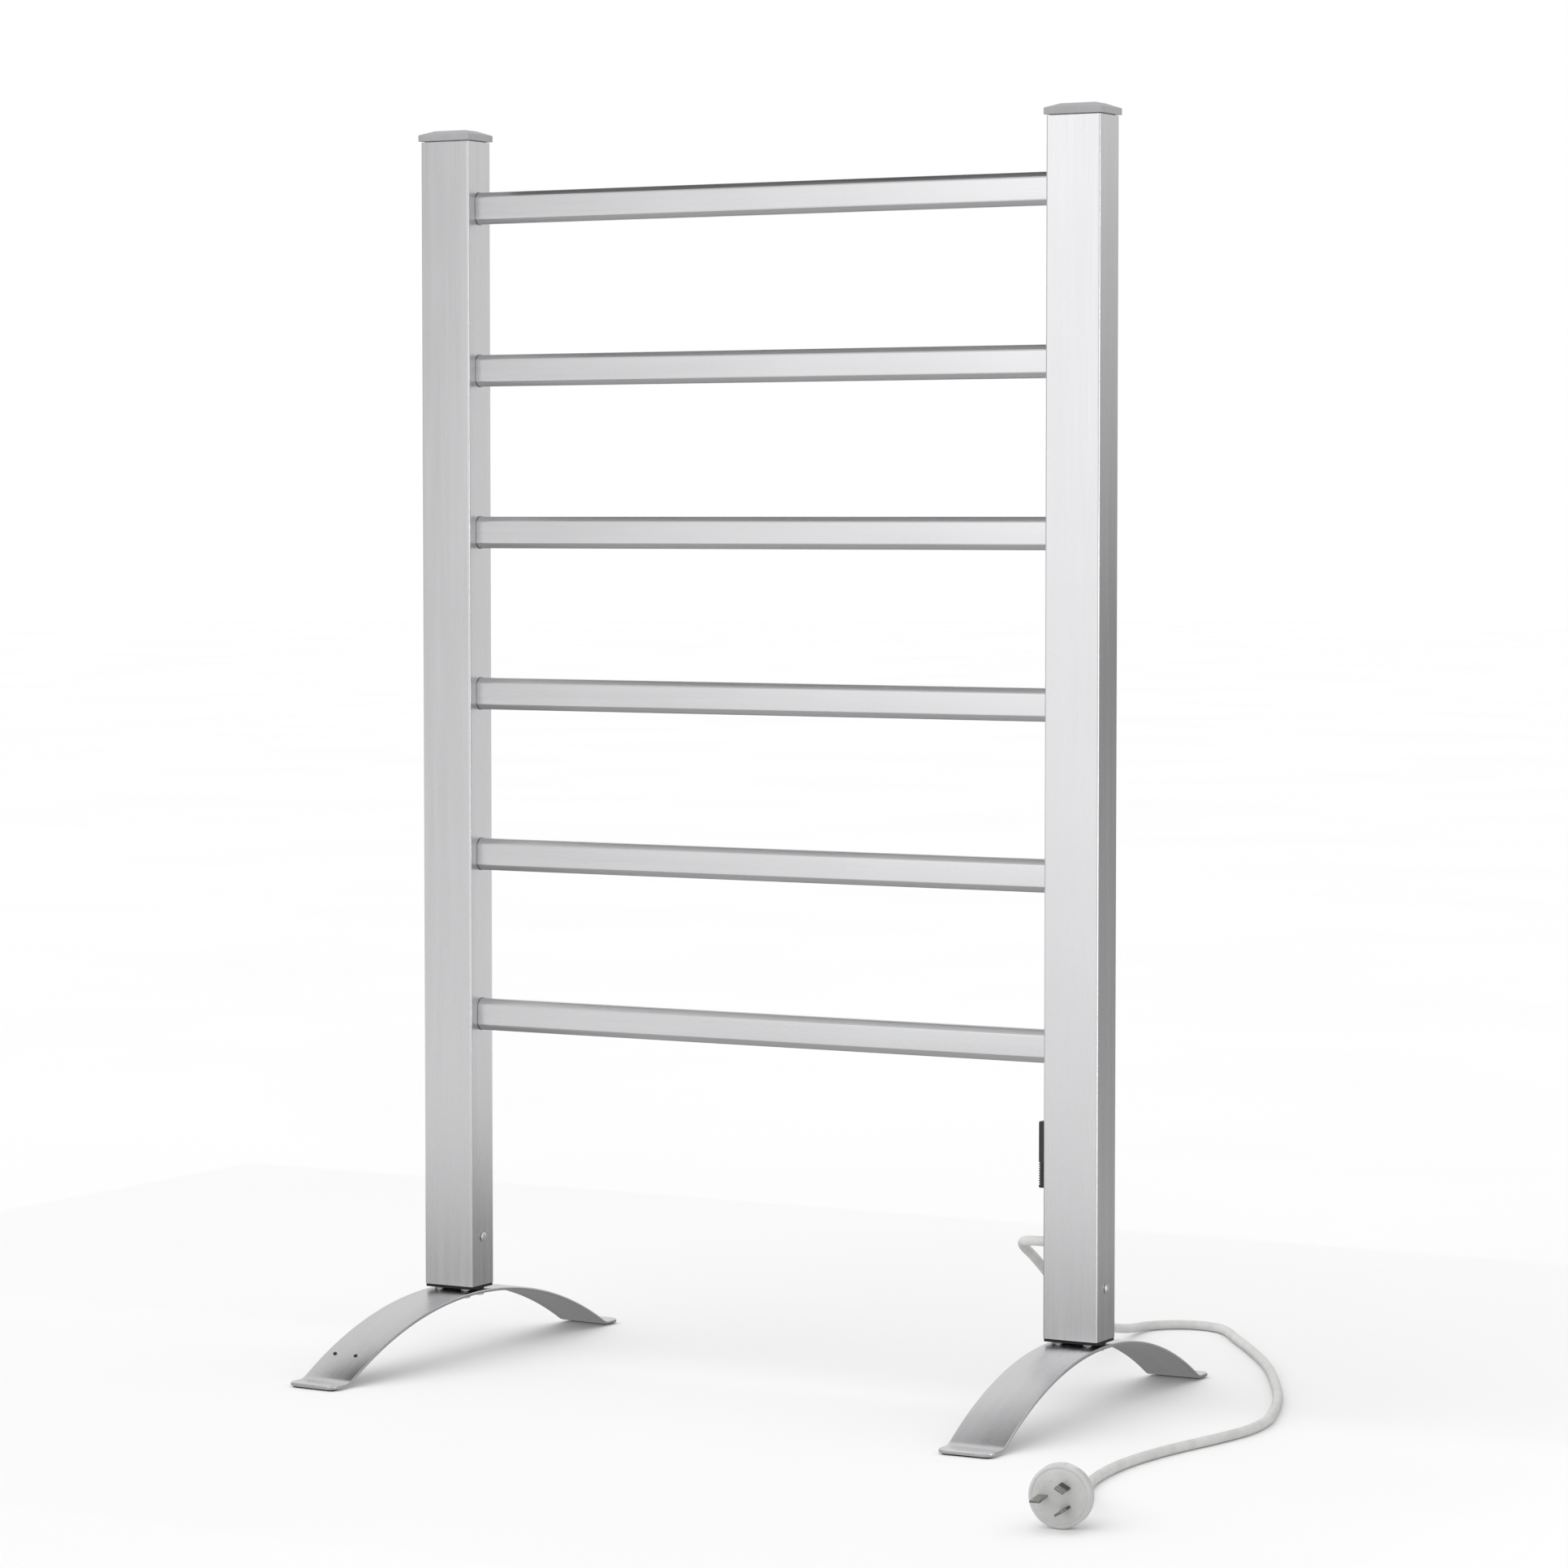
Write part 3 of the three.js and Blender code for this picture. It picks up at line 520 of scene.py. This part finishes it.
def extruded_pvc(name, colour):
    """The soft, slightly shiny sheath of a lead, with faint waves from the extruder."""
    finish = Finish(name, Roughness=0.42)
    where = finish.place()
    waves = finish.noise(where, 0.012, 3, 0.5)
    pores = finish.noise(where, 0.0005, 2, 0.6)
    shade = finish.spread(waves, 0.35, 0.65)
    finish.set("Base Color", finish.blend(shade, scaled(colour, 0.93), scaled(colour, 1.05)))
    finish.set("Roughness", shade * 0.08 + finish.spread(pores, 0.3, 0.7) * 0.08 + 0.34)
    finish.bump(waves * 0.7 + pores * 0.3, 0.25, 0.00012)
    return finish.material


def glazed(name, colour, roughness):
    """A plain coloured insulation or moulding, with small changes of tone and gloss."""
    finish = Finish(name, Roughness=roughness)
    where = finish.place()
    shade = finish.spread(finish.noise(where, 0.006, 4, 0.6), 0.35, 0.65)
    finish.set("Base Color", finish.blend(shade, scaled(colour, 0.88), scaled(colour, 1.1)))
    finish.set("Roughness", shade * 0.12 + (roughness - 0.06))
    finish.bump(shade, 0.1, 0.0001)
    return finish.material


def finish_of(name, make, *args, **more):
    """A finish that is made once and then shared."""
    return bpy.data.materials.get(name) or make(name, *args, **more)


def satin_black(plastics):
    return finish_of("satin_black", moulded, plastics.black_tone, plastics, 0.42, gloss=0.25)


def zinc_plate(metal):
    return finish_of("zinc_plate", plated, metal.screw_tone, 0.26)


# ---- pieces ----
def foot_profile(foot):
    """Stations along the foot's upper face: place, tilt from level and half-width."""
    low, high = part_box(foot)
    top = high.z
    tip_top = low.z + FOOT_THICKNESS
    end_tilt = math.acos(1 - (top - tip_top) / (FOOT_ARC + FOOT_FLARE))
    flare_end = (FOOT_ARC + FOOT_FLARE) * math.sin(end_tilt)
    arch_steps, flare_steps, corner_steps = 40, 10, 9
    half = []
    for k in range(arch_steps + 1):
        a = end_tilt * k / arch_steps
        half.append((FOOT_ARC * math.sin(a), top - FOOT_ARC + FOOT_ARC * math.cos(a), a))
    for k in range(1, flare_steps + 1):
        a = end_tilt * (1 - k / flare_steps)
        y = flare_end - FOOT_FLARE * math.sin(a)
        half.append((y, tip_top + FOOT_FLARE - FOOT_FLARE * math.cos(a), a))
    # The tip's corners are rounded in plan, so the strip narrows there.
    corner_start = FOOT_HALF_LENGTH - FOOT_CORNER
    full = [station for station in half if station[0] < corner_start - 0.2 * MM]
    stations = [(*station, FOOT_HALF_WIDTH) for station in full]
    for k in range(corner_steps + 1):
        turn = math.pi / 2 * k / corner_steps
        y = corner_start + FOOT_CORNER * math.sin(turn)
        width = FOOT_HALF_WIDTH - FOOT_CORNER + FOOT_CORNER * math.cos(turn)
        stations.append((y, tip_top, 0.0, width))
    mirrored = [(-y, z, -a, w) for y, z, a, w in reversed(stations[1:])]
    return mirrored + stations


def foot_mesh(foot):
    """The bent strip as one loft of rounded sections."""
    stations = foot_profile(foot)
    edge = 0.7 * MM
    rings = []
    last = len(stations) - 1
    for i, (y, z, tilt, half_width) in enumerate(stations):
        trim = 0.35 * MM if i in (0, last) else 0
        section = rounded_rect(2 * half_width, FOOT_THICKNESS - 2 * trim, edge - trim, 3)
        normal = Vector((0, math.sin(tilt), math.cos(tilt)))
        centre = Vector((0, y, z)) - normal * FOOT_THICKNESS / 2
        rings.append([centre + Vector((x, 0, 0)) + normal * n for x, n in section])
    return loft(rings)


class TOWELRAIL_OT_stage(bpy.types.Operator):
    """Make the floor, the soft lights and the camera"""

    bl_idname = "towel_rail.stage"
    bl_label = "Stage"

    def execute(self, context):
        scene = context.scene
        settings = scene.towel_rail_stage
        scene.view_settings.view_transform = "Standard"
        self.make_camera(scene, settings)
        self.make_floor(scene, settings)
        self.make_lights(scene)
        return {"FINISHED"}

    def make_camera(self, scene, settings):
        data = bpy.data.cameras.new("Camera")
        data.sensor_width = 36
        data.lens = settings.lens
        data.clip_start, data.clip_end = 0.05, 200
        camera = bpy.data.objects.new("Camera", data)
        scene.collection.objects.link(camera)
        yaw, pitch = settings.yaw, settings.pitch
        ahead = Vector((
            -math.sin(yaw) * math.cos(pitch),
            math.cos(yaw) * math.cos(pitch),
            -math.sin(pitch),
        ))
        camera.location = settings.camera_place
        camera.rotation_euler = ahead.to_track_quat("-Z", "Y").to_euler()
        scene.camera = camera

    def make_floor(self, scene, settings):
        half = settings.floor_size / 2
        data = bpy.data.meshes.new("floor")
        corners = [(-half, -half, 0), (half, -half, 0), (half, half, 0), (-half, half, 0)]
        data.from_pydata(corners, [], [(0, 1, 2, 3)])
        finish = Finish("pale_floor", Roughness=0.7)
        finish.shader.inputs["Specular IOR Level"].default_value = 0.15
        drift = finish.spread(finish.noise(finish.place(), 0.6, 2, 0.5), 0.3, 0.7)
        low, high = scaled(settings.floor_tone, 0.99), scaled(settings.floor_tone, 1.01)
        finish.set("Base Color", finish.blend(drift, low, high))
        data.materials.append(finish.material)
        floor = bpy.data.objects.new("floor", data)
        scene.collection.objects.link(floor)

    def make_lights(self, scene):
        world = bpy.data.worlds.new("Studio")
        scene.world = world
        world.use_nodes = True
        background = world.node_tree.nodes["Background"]
        background.inputs["Color"].default_value = (1, 1, 1, 1)
        background.inputs["Strength"].default_value = WORLD_LIGHT
        data = bpy.data.lights.new("soft_top", "SUN")
        data.energy = SUN_LIGHT
        data.angle = SUN_SPREAD
        light = bpy.data.objects.new("soft_top", data)
        light.rotation_euler = SUN_WAY.to_track_quat("-Z", "Y").to_euler()
        light.visible_glossy = False
        scene.collection.objects.link(light)
        self.make_wall(scene)
        for name, (middle, half, corners) in CARDS.items():
            self.make_card(scene, name, middle, half, corners)

    def make_wall(self, scene):
        """A white wall all round that only the camera sees. It casts no light."""
        mesh = bmesh.new()
        bmesh.ops.create_uvsphere(mesh, u_segments=64, v_segments=32, radius=WALL_RADIUS)
        data = bpy.data.meshes.new("wall")
        mesh.to_mesh(data)
        mesh.free()
        data.materials.append(self.glow("wall_white", (1, 1, 1, 1), (1, 1, 1)))
        wall = bpy.data.objects.new("wall", data)
        scene.collection.objects.link(wall)
        wall.visible_diffuse = wall.visible_glossy = wall.visible_shadow = False

    def glow(self, name, corners, half):
        """Light given off by a card, blended between its four corners."""
        finish = Finish(name, Base_Color=(0, 0, 0, 1), Roughness=1.0, Emission_Strength=1.0)
        finish.shader.inputs["Specular IOR Level"].default_value = 0
        where = finish.node("ShaderNodeSeparateXYZ", {}, {"Vector": finish.place()})
        axes = [Shade(finish, s) for s in where.socket.node.outputs]
        up = 2 if half[2] else 1
        across = axes[0] * (0.5 / half[0]) + 0.5
        # Squared, so that the light gathers towards the right.
        across = across * across
        along = axes[up] * (0.5 / half[up]) + 0.5
        high = finish.blend(across, (corners[0],) * 3, (corners[1],) * 3)
        low = finish.blend(across, (corners[2],) * 3, (corners[3],) * 3)
        finish.set("Emission Color", finish.blend(along, low, high))
        return finish.material

    def make_card(self, scene, name, middle, half, corners):
        data = bpy.data.meshes.new(name)
        x, y, z = half
        if z:
            points = [(-x, 0, -z), (x, 0, -z), (x, 0, z), (-x, 0, z)]
        else:
            points = [(-x, -y, 0), (x, -y, 0), (x, y, 0), (-x, y, 0)]
        data.from_pydata(points, [], [(0, 1, 2, 3)])
        data.materials.append(self.glow(name + "_glow", corners, half))
        card = bpy.data.objects.new(name, data)
        card.location = middle
        scene.collection.objects.link(card)
        card.visible_camera = card.visible_diffuse = card.visible_shadow = False


class TOWELRAIL_OT_lead(bpy.types.Operator):
    """Make the mains lead with its strain relief and plug"""

    bl_idname = "towel_rail.lead"
    bl_label = "Mains Lead"

    def execute(self, context):
        settings = context.scene.towel_rail_lead
        self.sheath = finish_of("lead_sheath", extruded_pvc, settings.lead_tone)
        plastics = context.scene.towel_rail_plastic
        shell = finish_of(
            "plug_shell", moulded, settings.plug_tone, plastics, 0.38, depth=0.35, coat=1.0
        )
        plug = self.make_plug(settings, shell)
        self.make_relief()
        self.make_lead(settings, plug)
        return {"FINISHED"}

    def route(self, per_span=8):
        """The route's points joined by one smooth curve."""
        points = [Vector(p) for p in LEAD_ROUTE]
        ends = [2 * points[0] - points[1], *points, 2 * points[-1] - points[-2]]
        made = []
        for a, b, c, d in zip(ends, ends[1:], ends[2:], ends[3:]):
            t0, t1, t2 = ((q - p).length ** 0.5 for p, q in ((a, b), (b, c), (c, d)))
            leave = ((b - a) / t0 - (c - a) / (t0 + t1) + (c - b) / t1) * t1
            arrive = ((c - b) / t1 - (d - b) / (t1 + t2) + (d - c) / t2) * t1
            for k in range(per_span):
                u = k / per_span
                made.append(
                    b * (2 * u**3 - 3 * u**2 + 1)
                    + leave * (u**3 - 2 * u**2 + u)
                    + c * (3 * u**2 - 2 * u**3)
                    + arrive * (u**3 - u**2)
                )
        return made + [points[-1]]

    def make_lead(self, settings, plug):
        points = self.route()
        curve = bpy.data.curves.new("mains_lead", "CURVE")
        curve.dimensions = "3D"
        curve.bevel_depth = settings.diameter / 2
        curve.bevel_resolution = 6
        curve.use_fill_caps = True
        spline = curve.splines.new("POLY")
        spline.points.add(len(points) - 1)
        for target, p in zip(spline.points, points):
            target.co = (*p, 1)
        spline.use_smooth = True
        curve.materials.append(self.sheath)
        lead = bpy.data.objects.new("mains_lead", curve)
        bpy.context.scene.collection.objects.link(lead)
        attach(lead, "frame")
        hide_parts("power_cord")
        length = sum((q - p).length for p, q in zip(points, points[1:]))

    def make_relief(self):
        """The tapered sleeve where the lead leaves the post, with ribs and a flange."""
        # Radius and height in millimetres, from inside the post outwards.
        profile = [(0, -14), (4.2, -14), (5.4, -10), (5.4, 0.3), (6.8, 0.3), (6.8, 1.8), (6.0, 2.3)]
        profile += [(5.45, 2.4), (5.3, 3.0), (5.0, 3.1), (4.95, 3.7), (5.1, 3.8), (4.95, 4.4)]
        profile += [(4.65, 4.5), (4.6, 5.1), (4.75, 5.2), (4.4, 5.9), (3.7, 6.0), (0, 6.0)]
        eased = ease_open([(r * MM, z * MM) for r, z in profile], 0.25 * MM, 3)
        low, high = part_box("cord_strain_relief")
        middle = (low + high) / 2
        turn = Matrix.Rotation(-math.pi / 2, 4, "Y")
        at = Matrix.Translation((INNER_FACE, middle.y, middle.z)) @ turn
        mesh = turned(eased, 56)
        place("strain_relief_sleeve", mesh, self.sheath, at=at,
              replaces=["cord_strain_relief"])

    def plug_frame(self):
        """The plug's own frame: Z out of its face, X away from the earth pin."""
        up = Vector((0, 0, 1))
        axes = Matrix((up.cross(PLUG_OUT), up, PLUG_OUT)).transposed().to_4x4()
        return Matrix.Translation(PLUG_FACE) @ axes

    def make_plug(self, settings, shell):
        at = self.plug_frame()
        step = 12 / settings.relief_ribs
        # Radius and height in millimetres: the tail, its ribs, then the body up to the face.
        profile = [(0, -42), (3.9, -42), (4.3, -41.6)]
        for k in range(settings.relief_ribs):
            z = -40.6 + k * step
            r = 4.35 + 1.1 * k / settings.relief_ribs
            profile += [(r, z), (r + 0.28, z + 0.15 * step)]
            profile += [(r + 0.3, z + 0.6 * step), (r, z + 0.72 * step)]
        profile += [(5.5, -28), (5.9, -26.2), (8.6, -23.4), (10.9, -20), (12.4, -16.6), (13.8, -14)]
        profile += [(15.5, -11.6), (17.9, -9.7), (19.0, -8.9), (19.6, -8.0), (19.6, -1.3)]
        profile += [(19.1, -0.3), (18.5, 0), (17.3, 0), (17.1, -0.22), (16.7, -0.22)]
        profile += [(16.5, 0), (0, 0)]
        eased = ease_open([(r * MM, z * MM) for r, z in profile], 0.5 * MM, 3)
        mesh = turned(eased, 96)
        body = place("plug_shell", mesh, shell, at=at, replaces=["plug_body"])
        return [body, *self.make_pins(at), *self.make_marks(at, shell)]

    def make_pins(self, at):
        nickel = finish_of("nickel_plate", plated, (0.36, 0.35, 0.33), 0.2)
        sleeve = finish_of("pin_sleeve", glazed, (0.02, 0.02, 0.02), 0.4)
        # node, length, distance from the middle, angle round it, turn of the blade, sleeved length
        pins = [
            ("plug_pin_earth", 20, 10.3, 180, 0, 0),
            ("plug_pin_active", 17, 7.92, 60, 90, 9),
            ("plug_pin_neutral", 17, 7.92, -60, 90, 9),
        ]
        made = []
        for node, length, radius, around, turn, sleeved in pins:
            levels = [(0.3, 0), (max(sleeved, 2), 0)]
            levels += [(length - 1.2, 0), (length - 0.4, 0.25), (length, 0.5)]
            rings = []
            for z, shrink in levels:
                section = rounded_rect(PIN_WIDTH - 3 * shrink, PIN_THICKNESS - 1.6 * shrink, 0.3, 3)
                rings.append([Vector((x, y, z)) * MM for x, y in section])
            mesh = loft(rings)
            for face in mesh.faces:
                middle = face.calc_center_median().z / MM
                face.material_index = 1 if middle < sleeved and abs(face.normal.z) < 0.9 else 0
            a = math.radians(around)
            centre = Vector((radius * math.cos(a), radius * math.sin(a), 0)) * MM
            spin = Matrix.Rotation(a + math.radians(turn), 4, "Z")
            made.append(
                place(node + "_blade", mesh, [nickel, sleeve],
                      at=at @ Matrix.Translation(centre) @ spin, replaces=[node])
            )
        return made

    def make_marks(self, at, shell):
        """Two small plain moulding marks on the plug's face."""
        made = []
        for i, (x, y, angle) in enumerate(((-5.6, 9.6, 35), (-9.4, 6.2, -20))):
            rings = []
            for z, grow in ((-0.3, 0), (0.12, 0), (0.2, -0.15)):
                section = rounded_rect(2.2 + grow, 0.8 + grow, 0.3, 3)
                rings.append([Vector((px, py, z)) * MM for px, py in section])
            turn = Matrix.Rotation(math.radians(angle), 4, "Z")
            local = Matrix.Translation(Vector((x, y, 0)) * MM) @ turn
            made.append(place(f"plug_mark_{i + 1}", loft(rings), shell, at=at @ local))
        return made


class TOWELRAIL_OT_posts(bpy.types.Operator):
    """Finish the posts and base plugs and make the top caps"""

    bl_idname = "towel_rail.posts"
    bl_label = "Posts and Caps"

    def execute(self, context):
        metal = context.scene.towel_rail_metal
        plastics = context.scene.towel_rail_plastic
        post = finish_of("post_brushed", brushed, metal.post_tone, metal, (2,))
        grey = finish_of("cap_grey", moulded, plastics.cap_tone, plastics, 0.46)
        black = satin_black(plastics)
        for side in SIDES:
            dress(f"{side}_post", post)
            dress(f"{side}_base_plug", black)
            self.make_cap(side, grey)
        return {"FINISHED"}

    def make_cap(self, side, finish):
        node = f"{side}_top_cap"
        low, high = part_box(node)
        width, depth = high.x - low.x, high.y - low.y
        top = high.z
        rim_top = top - CAP_CROWN
        rim_bottom = rim_top - CAP_RIM
        # level, how far in from the rim's outer face, corner radius
        levels = [
            (rim_bottom, None, 1.4),
            (rim_bottom, 0.3, 0.8),
            (rim_bottom + 0.1 * MM, 0.08, 0.9),
            (rim_bottom + 0.35 * MM, 0, 1.0),
            (rim_top - 0.5 * MM, 0, 1.0),
            (rim_top - 0.2 * MM, 0.08, 1.0),
            (rim_top, 0.35, 0.9),
            (top - 0.35 * MM, 7.9, 0.6),
            (top - 0.08 * MM, 8.8, 0.5),
            (top, 9.7, 0.4),
        ]
        stub = rounded_rect(*CAP_STUB, 1.4 * MM)
        rings = [[Vector((x, y, low.z)) for x, y in stub]]
        for z, inset, corner in levels:
            if inset is None:
                section = stub
            else:
                reach = 2 * inset * MM
                section = rounded_rect(width - reach, depth - reach, corner * MM)
            rings.append([Vector((x, y, z)) for x, y in section])
        at = Matrix.Translation((SIDES[side] * POST_X, 0, 0))
        place(f"{side}_cap_shell", loft(rings), finish, at=at, replaces=[node],
              sharp=50)


class TOWELRAIL_OT_bars(bpy.types.Operator):
    """Make the flat heated bars with eased bevels"""

    bl_idname = "towel_rail.bars"
    bl_label = "Bars"

    def execute(self, context):
        metal = context.scene.towel_rail_metal
        finish = finish_of("bar_brushed", brushed, metal.bar_tone, metal, (0,))
        for node in sorted(n for n in NODES if n.startswith("bar_")):
            low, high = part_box(node)
            middle = (low + high) / 2
            half_d, half_h = (high.y - low.y) / 2, (high.z - low.z) / 2
            flat_h, flat_d = half_h - BAR_BEVEL_HEIGHT, half_d - BAR_BEVEL_DEPTH
            octagon = [
                (half_d, flat_h), (flat_d, half_h), (-flat_d, half_h), (-half_d, flat_h),
                (-half_d, -flat_h), (-flat_d, -half_h), (flat_d, -half_h), (half_d, -flat_h),
            ]
            section = ease(octagon, 0.9 * MM, 5)
            rings = [[Vector((x, y, z)) for y, z in section] for x in (low.x, high.x)]
            at = Matrix.Translation((0, middle.y, middle.z))
            place(f"{node}_shell", loft(rings), finish, at=at, replaces=[node])
        return {"FINISHED"}


class TOWELRAIL_OT_feet(bpy.types.Operator):
    """Make the arched feet and finish their pads, bolts and rivets"""

    bl_idname = "towel_rail.feet"
    bl_label = "Feet"

    def execute(self, context):
        metal = context.scene.towel_rail_metal
        plastics = context.scene.towel_rail_plastic
        strip = finish_of(
            "foot_brushed", brushed, metal.foot_tone, metal, (1, 2), band=0.011, contrast=0.1
        )
        zinc = zinc_plate(metal)
        # Painted shade: the spacers between the base plug and the foot get a dark steel tone for
        # the shadow they sit in.
        steel = finish_of("oiled_steel", plated, (0.3, 0.3, 0.3), 0.3)
        black_steel = finish_of("blackened_steel", plated, (0.07, 0.07, 0.07), 0.3)
        rubber = finish_of("pad_rubber", moulded, plastics.rubber_tone, plastics, 0.7)
        for side, sign in SIDES.items():
            node = f"{side}_foot"
            front, rear = (
                sum(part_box(f"foot_pad_{side}_{end}"), Vector()) / 2 for end in ("front", "rear")
            )
            turn = math.atan2(front.x - rear.x, rear.y - front.y)
            at = Matrix.Translation((sign * POST_X, 0, 0)) @ Matrix.Rotation(turn, 4, "Z")
            place(f"{side}_foot_strip", foot_mesh(node), strip, at=at,
                  replaces=[node], sharp=40)
        small_parts = {
            "foot_pad": rubber,
            "foot_spacer": steel,
            "foot_rivet": black_steel,
            "foot_bolt": zinc,
        }
        for start, finish in small_parts.items():
            for node in NODES:
                if node.startswith(start):
                    dress(node, finish)
        return {"FINISHED"}


class TOWELRAIL_OT_switch(bpy.types.Operator):
    """Make the rocker and finish the switch and the posts' screws"""

    bl_idname = "towel_rail.switch"
    bl_label = "Switch and Screws"

    def execute(self, context):
        metal = context.scene.towel_rail_metal
        plastics = context.scene.towel_rail_plastic
        zinc = zinc_plate(metal)
        black = plastics.black_tone
        ribbed = finish_of("ribbed_black", moulded, black, plastics, 0.34, gloss=0.55)
        dress("switch_housing", ribbed, edge=0.2 * MM)
        self.make_rocker(satin_black(plastics))
        for node in NODES:
            if node.startswith("post_screw"):
                dress(node, zinc, edge=0.12 * MM, sharp=38)
        return {"FINISHED"}

    def make_rocker(self, finish):
        """The rocker: a paddle with a hollowed face that turns on two stub pins."""
        # Millimetres: half-length, the ends' rise and the middle's rise over the axis, half-width.
        end, lift, dip, half = 10.0, 2.6, 1.1, 6.3
        sweep = math.hypot(end, lift)
        dish_steps = 12
        outline = []
        for k in range(dish_steps + 1):
            v = -end + 2 * end * k / dish_steps
            outline.append((dip + (lift - dip) * (v / end) ** 2, v))
        for angle in (10, 2, -6, -13):
            a = math.radians(angle)
            outline.append((sweep * math.sin(a), sweep * math.cos(a)))
        # The arm behind the paddle.
        outline += [(-4, 4), (-8.4, 1.2), (-8.4, -1.2), (-4, -4)]
        for angle in (-13, -6, 2, 10):
            a = math.radians(angle)
            outline.append((sweep * math.sin(a), -sweep * math.cos(a)))
        slices = [(-half, 0.35), (-half + 0.12, 0.12), (-half + 0.4, 0)]
        slices += [(-y, shrink) for y, shrink in reversed(slices)]
        rings = []
        for y, shrink in slices:
            ring = []
            for h, v in outline:
                k = 1 - shrink / math.hypot(h, v) if math.hypot(h, v) > 1 else 1
                ring.append(Vector((-h * k, y, v * k)) * MM)
            rings.append(ring)
        mesh = loft(rings)
        pin_r, pin_end = 1.2 * MM, 7.3 * MM
        pin = turned([(0, -pin_end), (pin_r, -pin_end), (pin_r, pin_end), (0, pin_end)], 24)
        pin.transform(Matrix.Rotation(math.pi / 2, 4, "X"))
        joined = bpy.data.meshes.new("pins")
        pin.to_mesh(joined)
        pin.free()
        mesh.from_mesh(joined)
        bpy.data.meshes.remove(joined)
        at = Matrix.Translation(ROCKER_AXIS) @ Matrix.Rotation(ROCKER_TILT, 4, "Y")
        place("rocker_paddle", mesh, finish, body="rocker", at=at,
              replaces=["switch_rocker"], sharp=28)


class TOWELRAIL_OT_inside(bpy.types.Operator):
    """Finish the heating cable, wires and fittings inside the posts and bars"""

    bl_idname = "towel_rail.inside"
    bl_label = "Wiring"

    def execute(self, context):
        colours = {
            "heating_cable": ("cable_silicone", (0.3, 0.03, 0.02), 0.55),
            "terminal_block": ("block_nylon", (0.7, 0.68, 0.6), 0.5),
            "thermal_cutout": ("cutout_body", (0.62, 0.6, 0.55), 0.5),
            "wire_live": ("wire_brown", (0.16, 0.05, 0.02), 0.45),
            "wire_switched": ("wire_brown", (0.16, 0.05, 0.02), 0.45),
            "wire_element": ("wire_brown", (0.16, 0.05, 0.02), 0.45),
            "wire_neutral": ("wire_blue", (0.02, 0.08, 0.4), 0.45),
            "wire_earth": ("wire_green", (0.08, 0.4, 0.05), 0.45),
        }
        for node, (name, colour, roughness) in colours.items():
            dress(node, finish_of(name, glazed, colour, roughness))
        brass = finish_of("bare_brass", plated, (0.75, 0.58, 0.26), 0.3)
        for node in ("switch_terminal_live", "switch_terminal_load", "earth_tag"):
            dress(node, brass)
        dress("earth_stud", zinc_plate(context.scene.towel_rail_metal))
        return {"FINISHED"}


class TOWELRAIL_PT_panel(bpy.types.Panel):
    """Steps that build the towel rail"""

    bl_idname = "TOWELRAIL_PT_panel"
    bl_label = "Towel Rail"
    bl_space_type = "VIEW_3D"
    bl_region_type = "UI"
    bl_category = "Towel Rail"

    def draw(self, context):
        for step in STEPS:
            self.layout.operator(step.bl_idname)
        for group in ("metal", "plastic", "lead", "stage"):
            box = self.layout.box()
            settings = getattr(context.scene, f"towel_rail_{group}")
            for name in settings.__annotations__:
                box.prop(settings, name)


STEPS = (
    TOWELRAIL_OT_stage,
    TOWELRAIL_OT_lead,
    TOWELRAIL_OT_posts,
    TOWELRAIL_OT_bars,
    TOWELRAIL_OT_feet,
    TOWELRAIL_OT_switch,
    TOWELRAIL_OT_inside,
)
GROUPS = {
    "towel_rail_metal": MetalSettings,
    "towel_rail_plastic": PlasticSettings,
    "towel_rail_lead": LeadSettings,
    "towel_rail_stage": StageSettings,
}


def register():
    for group in GROUPS.values():
        bpy.utils.register_class(group)
    for step in (*STEPS, TOWELRAIL_PT_panel):
        bpy.utils.register_class(step)
    for name, group in GROUPS.items():
        setattr(bpy.types.Scene, name, PointerProperty(type=group))


def unregister():
    for name in GROUPS:
        delattr(bpy.types.Scene, name)
    for made in (TOWELRAIL_PT_panel, *reversed(STEPS), *GROUPS.values()):
        bpy.utils.unregister_class(made)


def main():
    register()
    for step in STEPS:
        group, name = step.bl_idname.split(".")
        getattr(getattr(bpy.ops, group), name)()


if __name__ == "__main__":
    main()
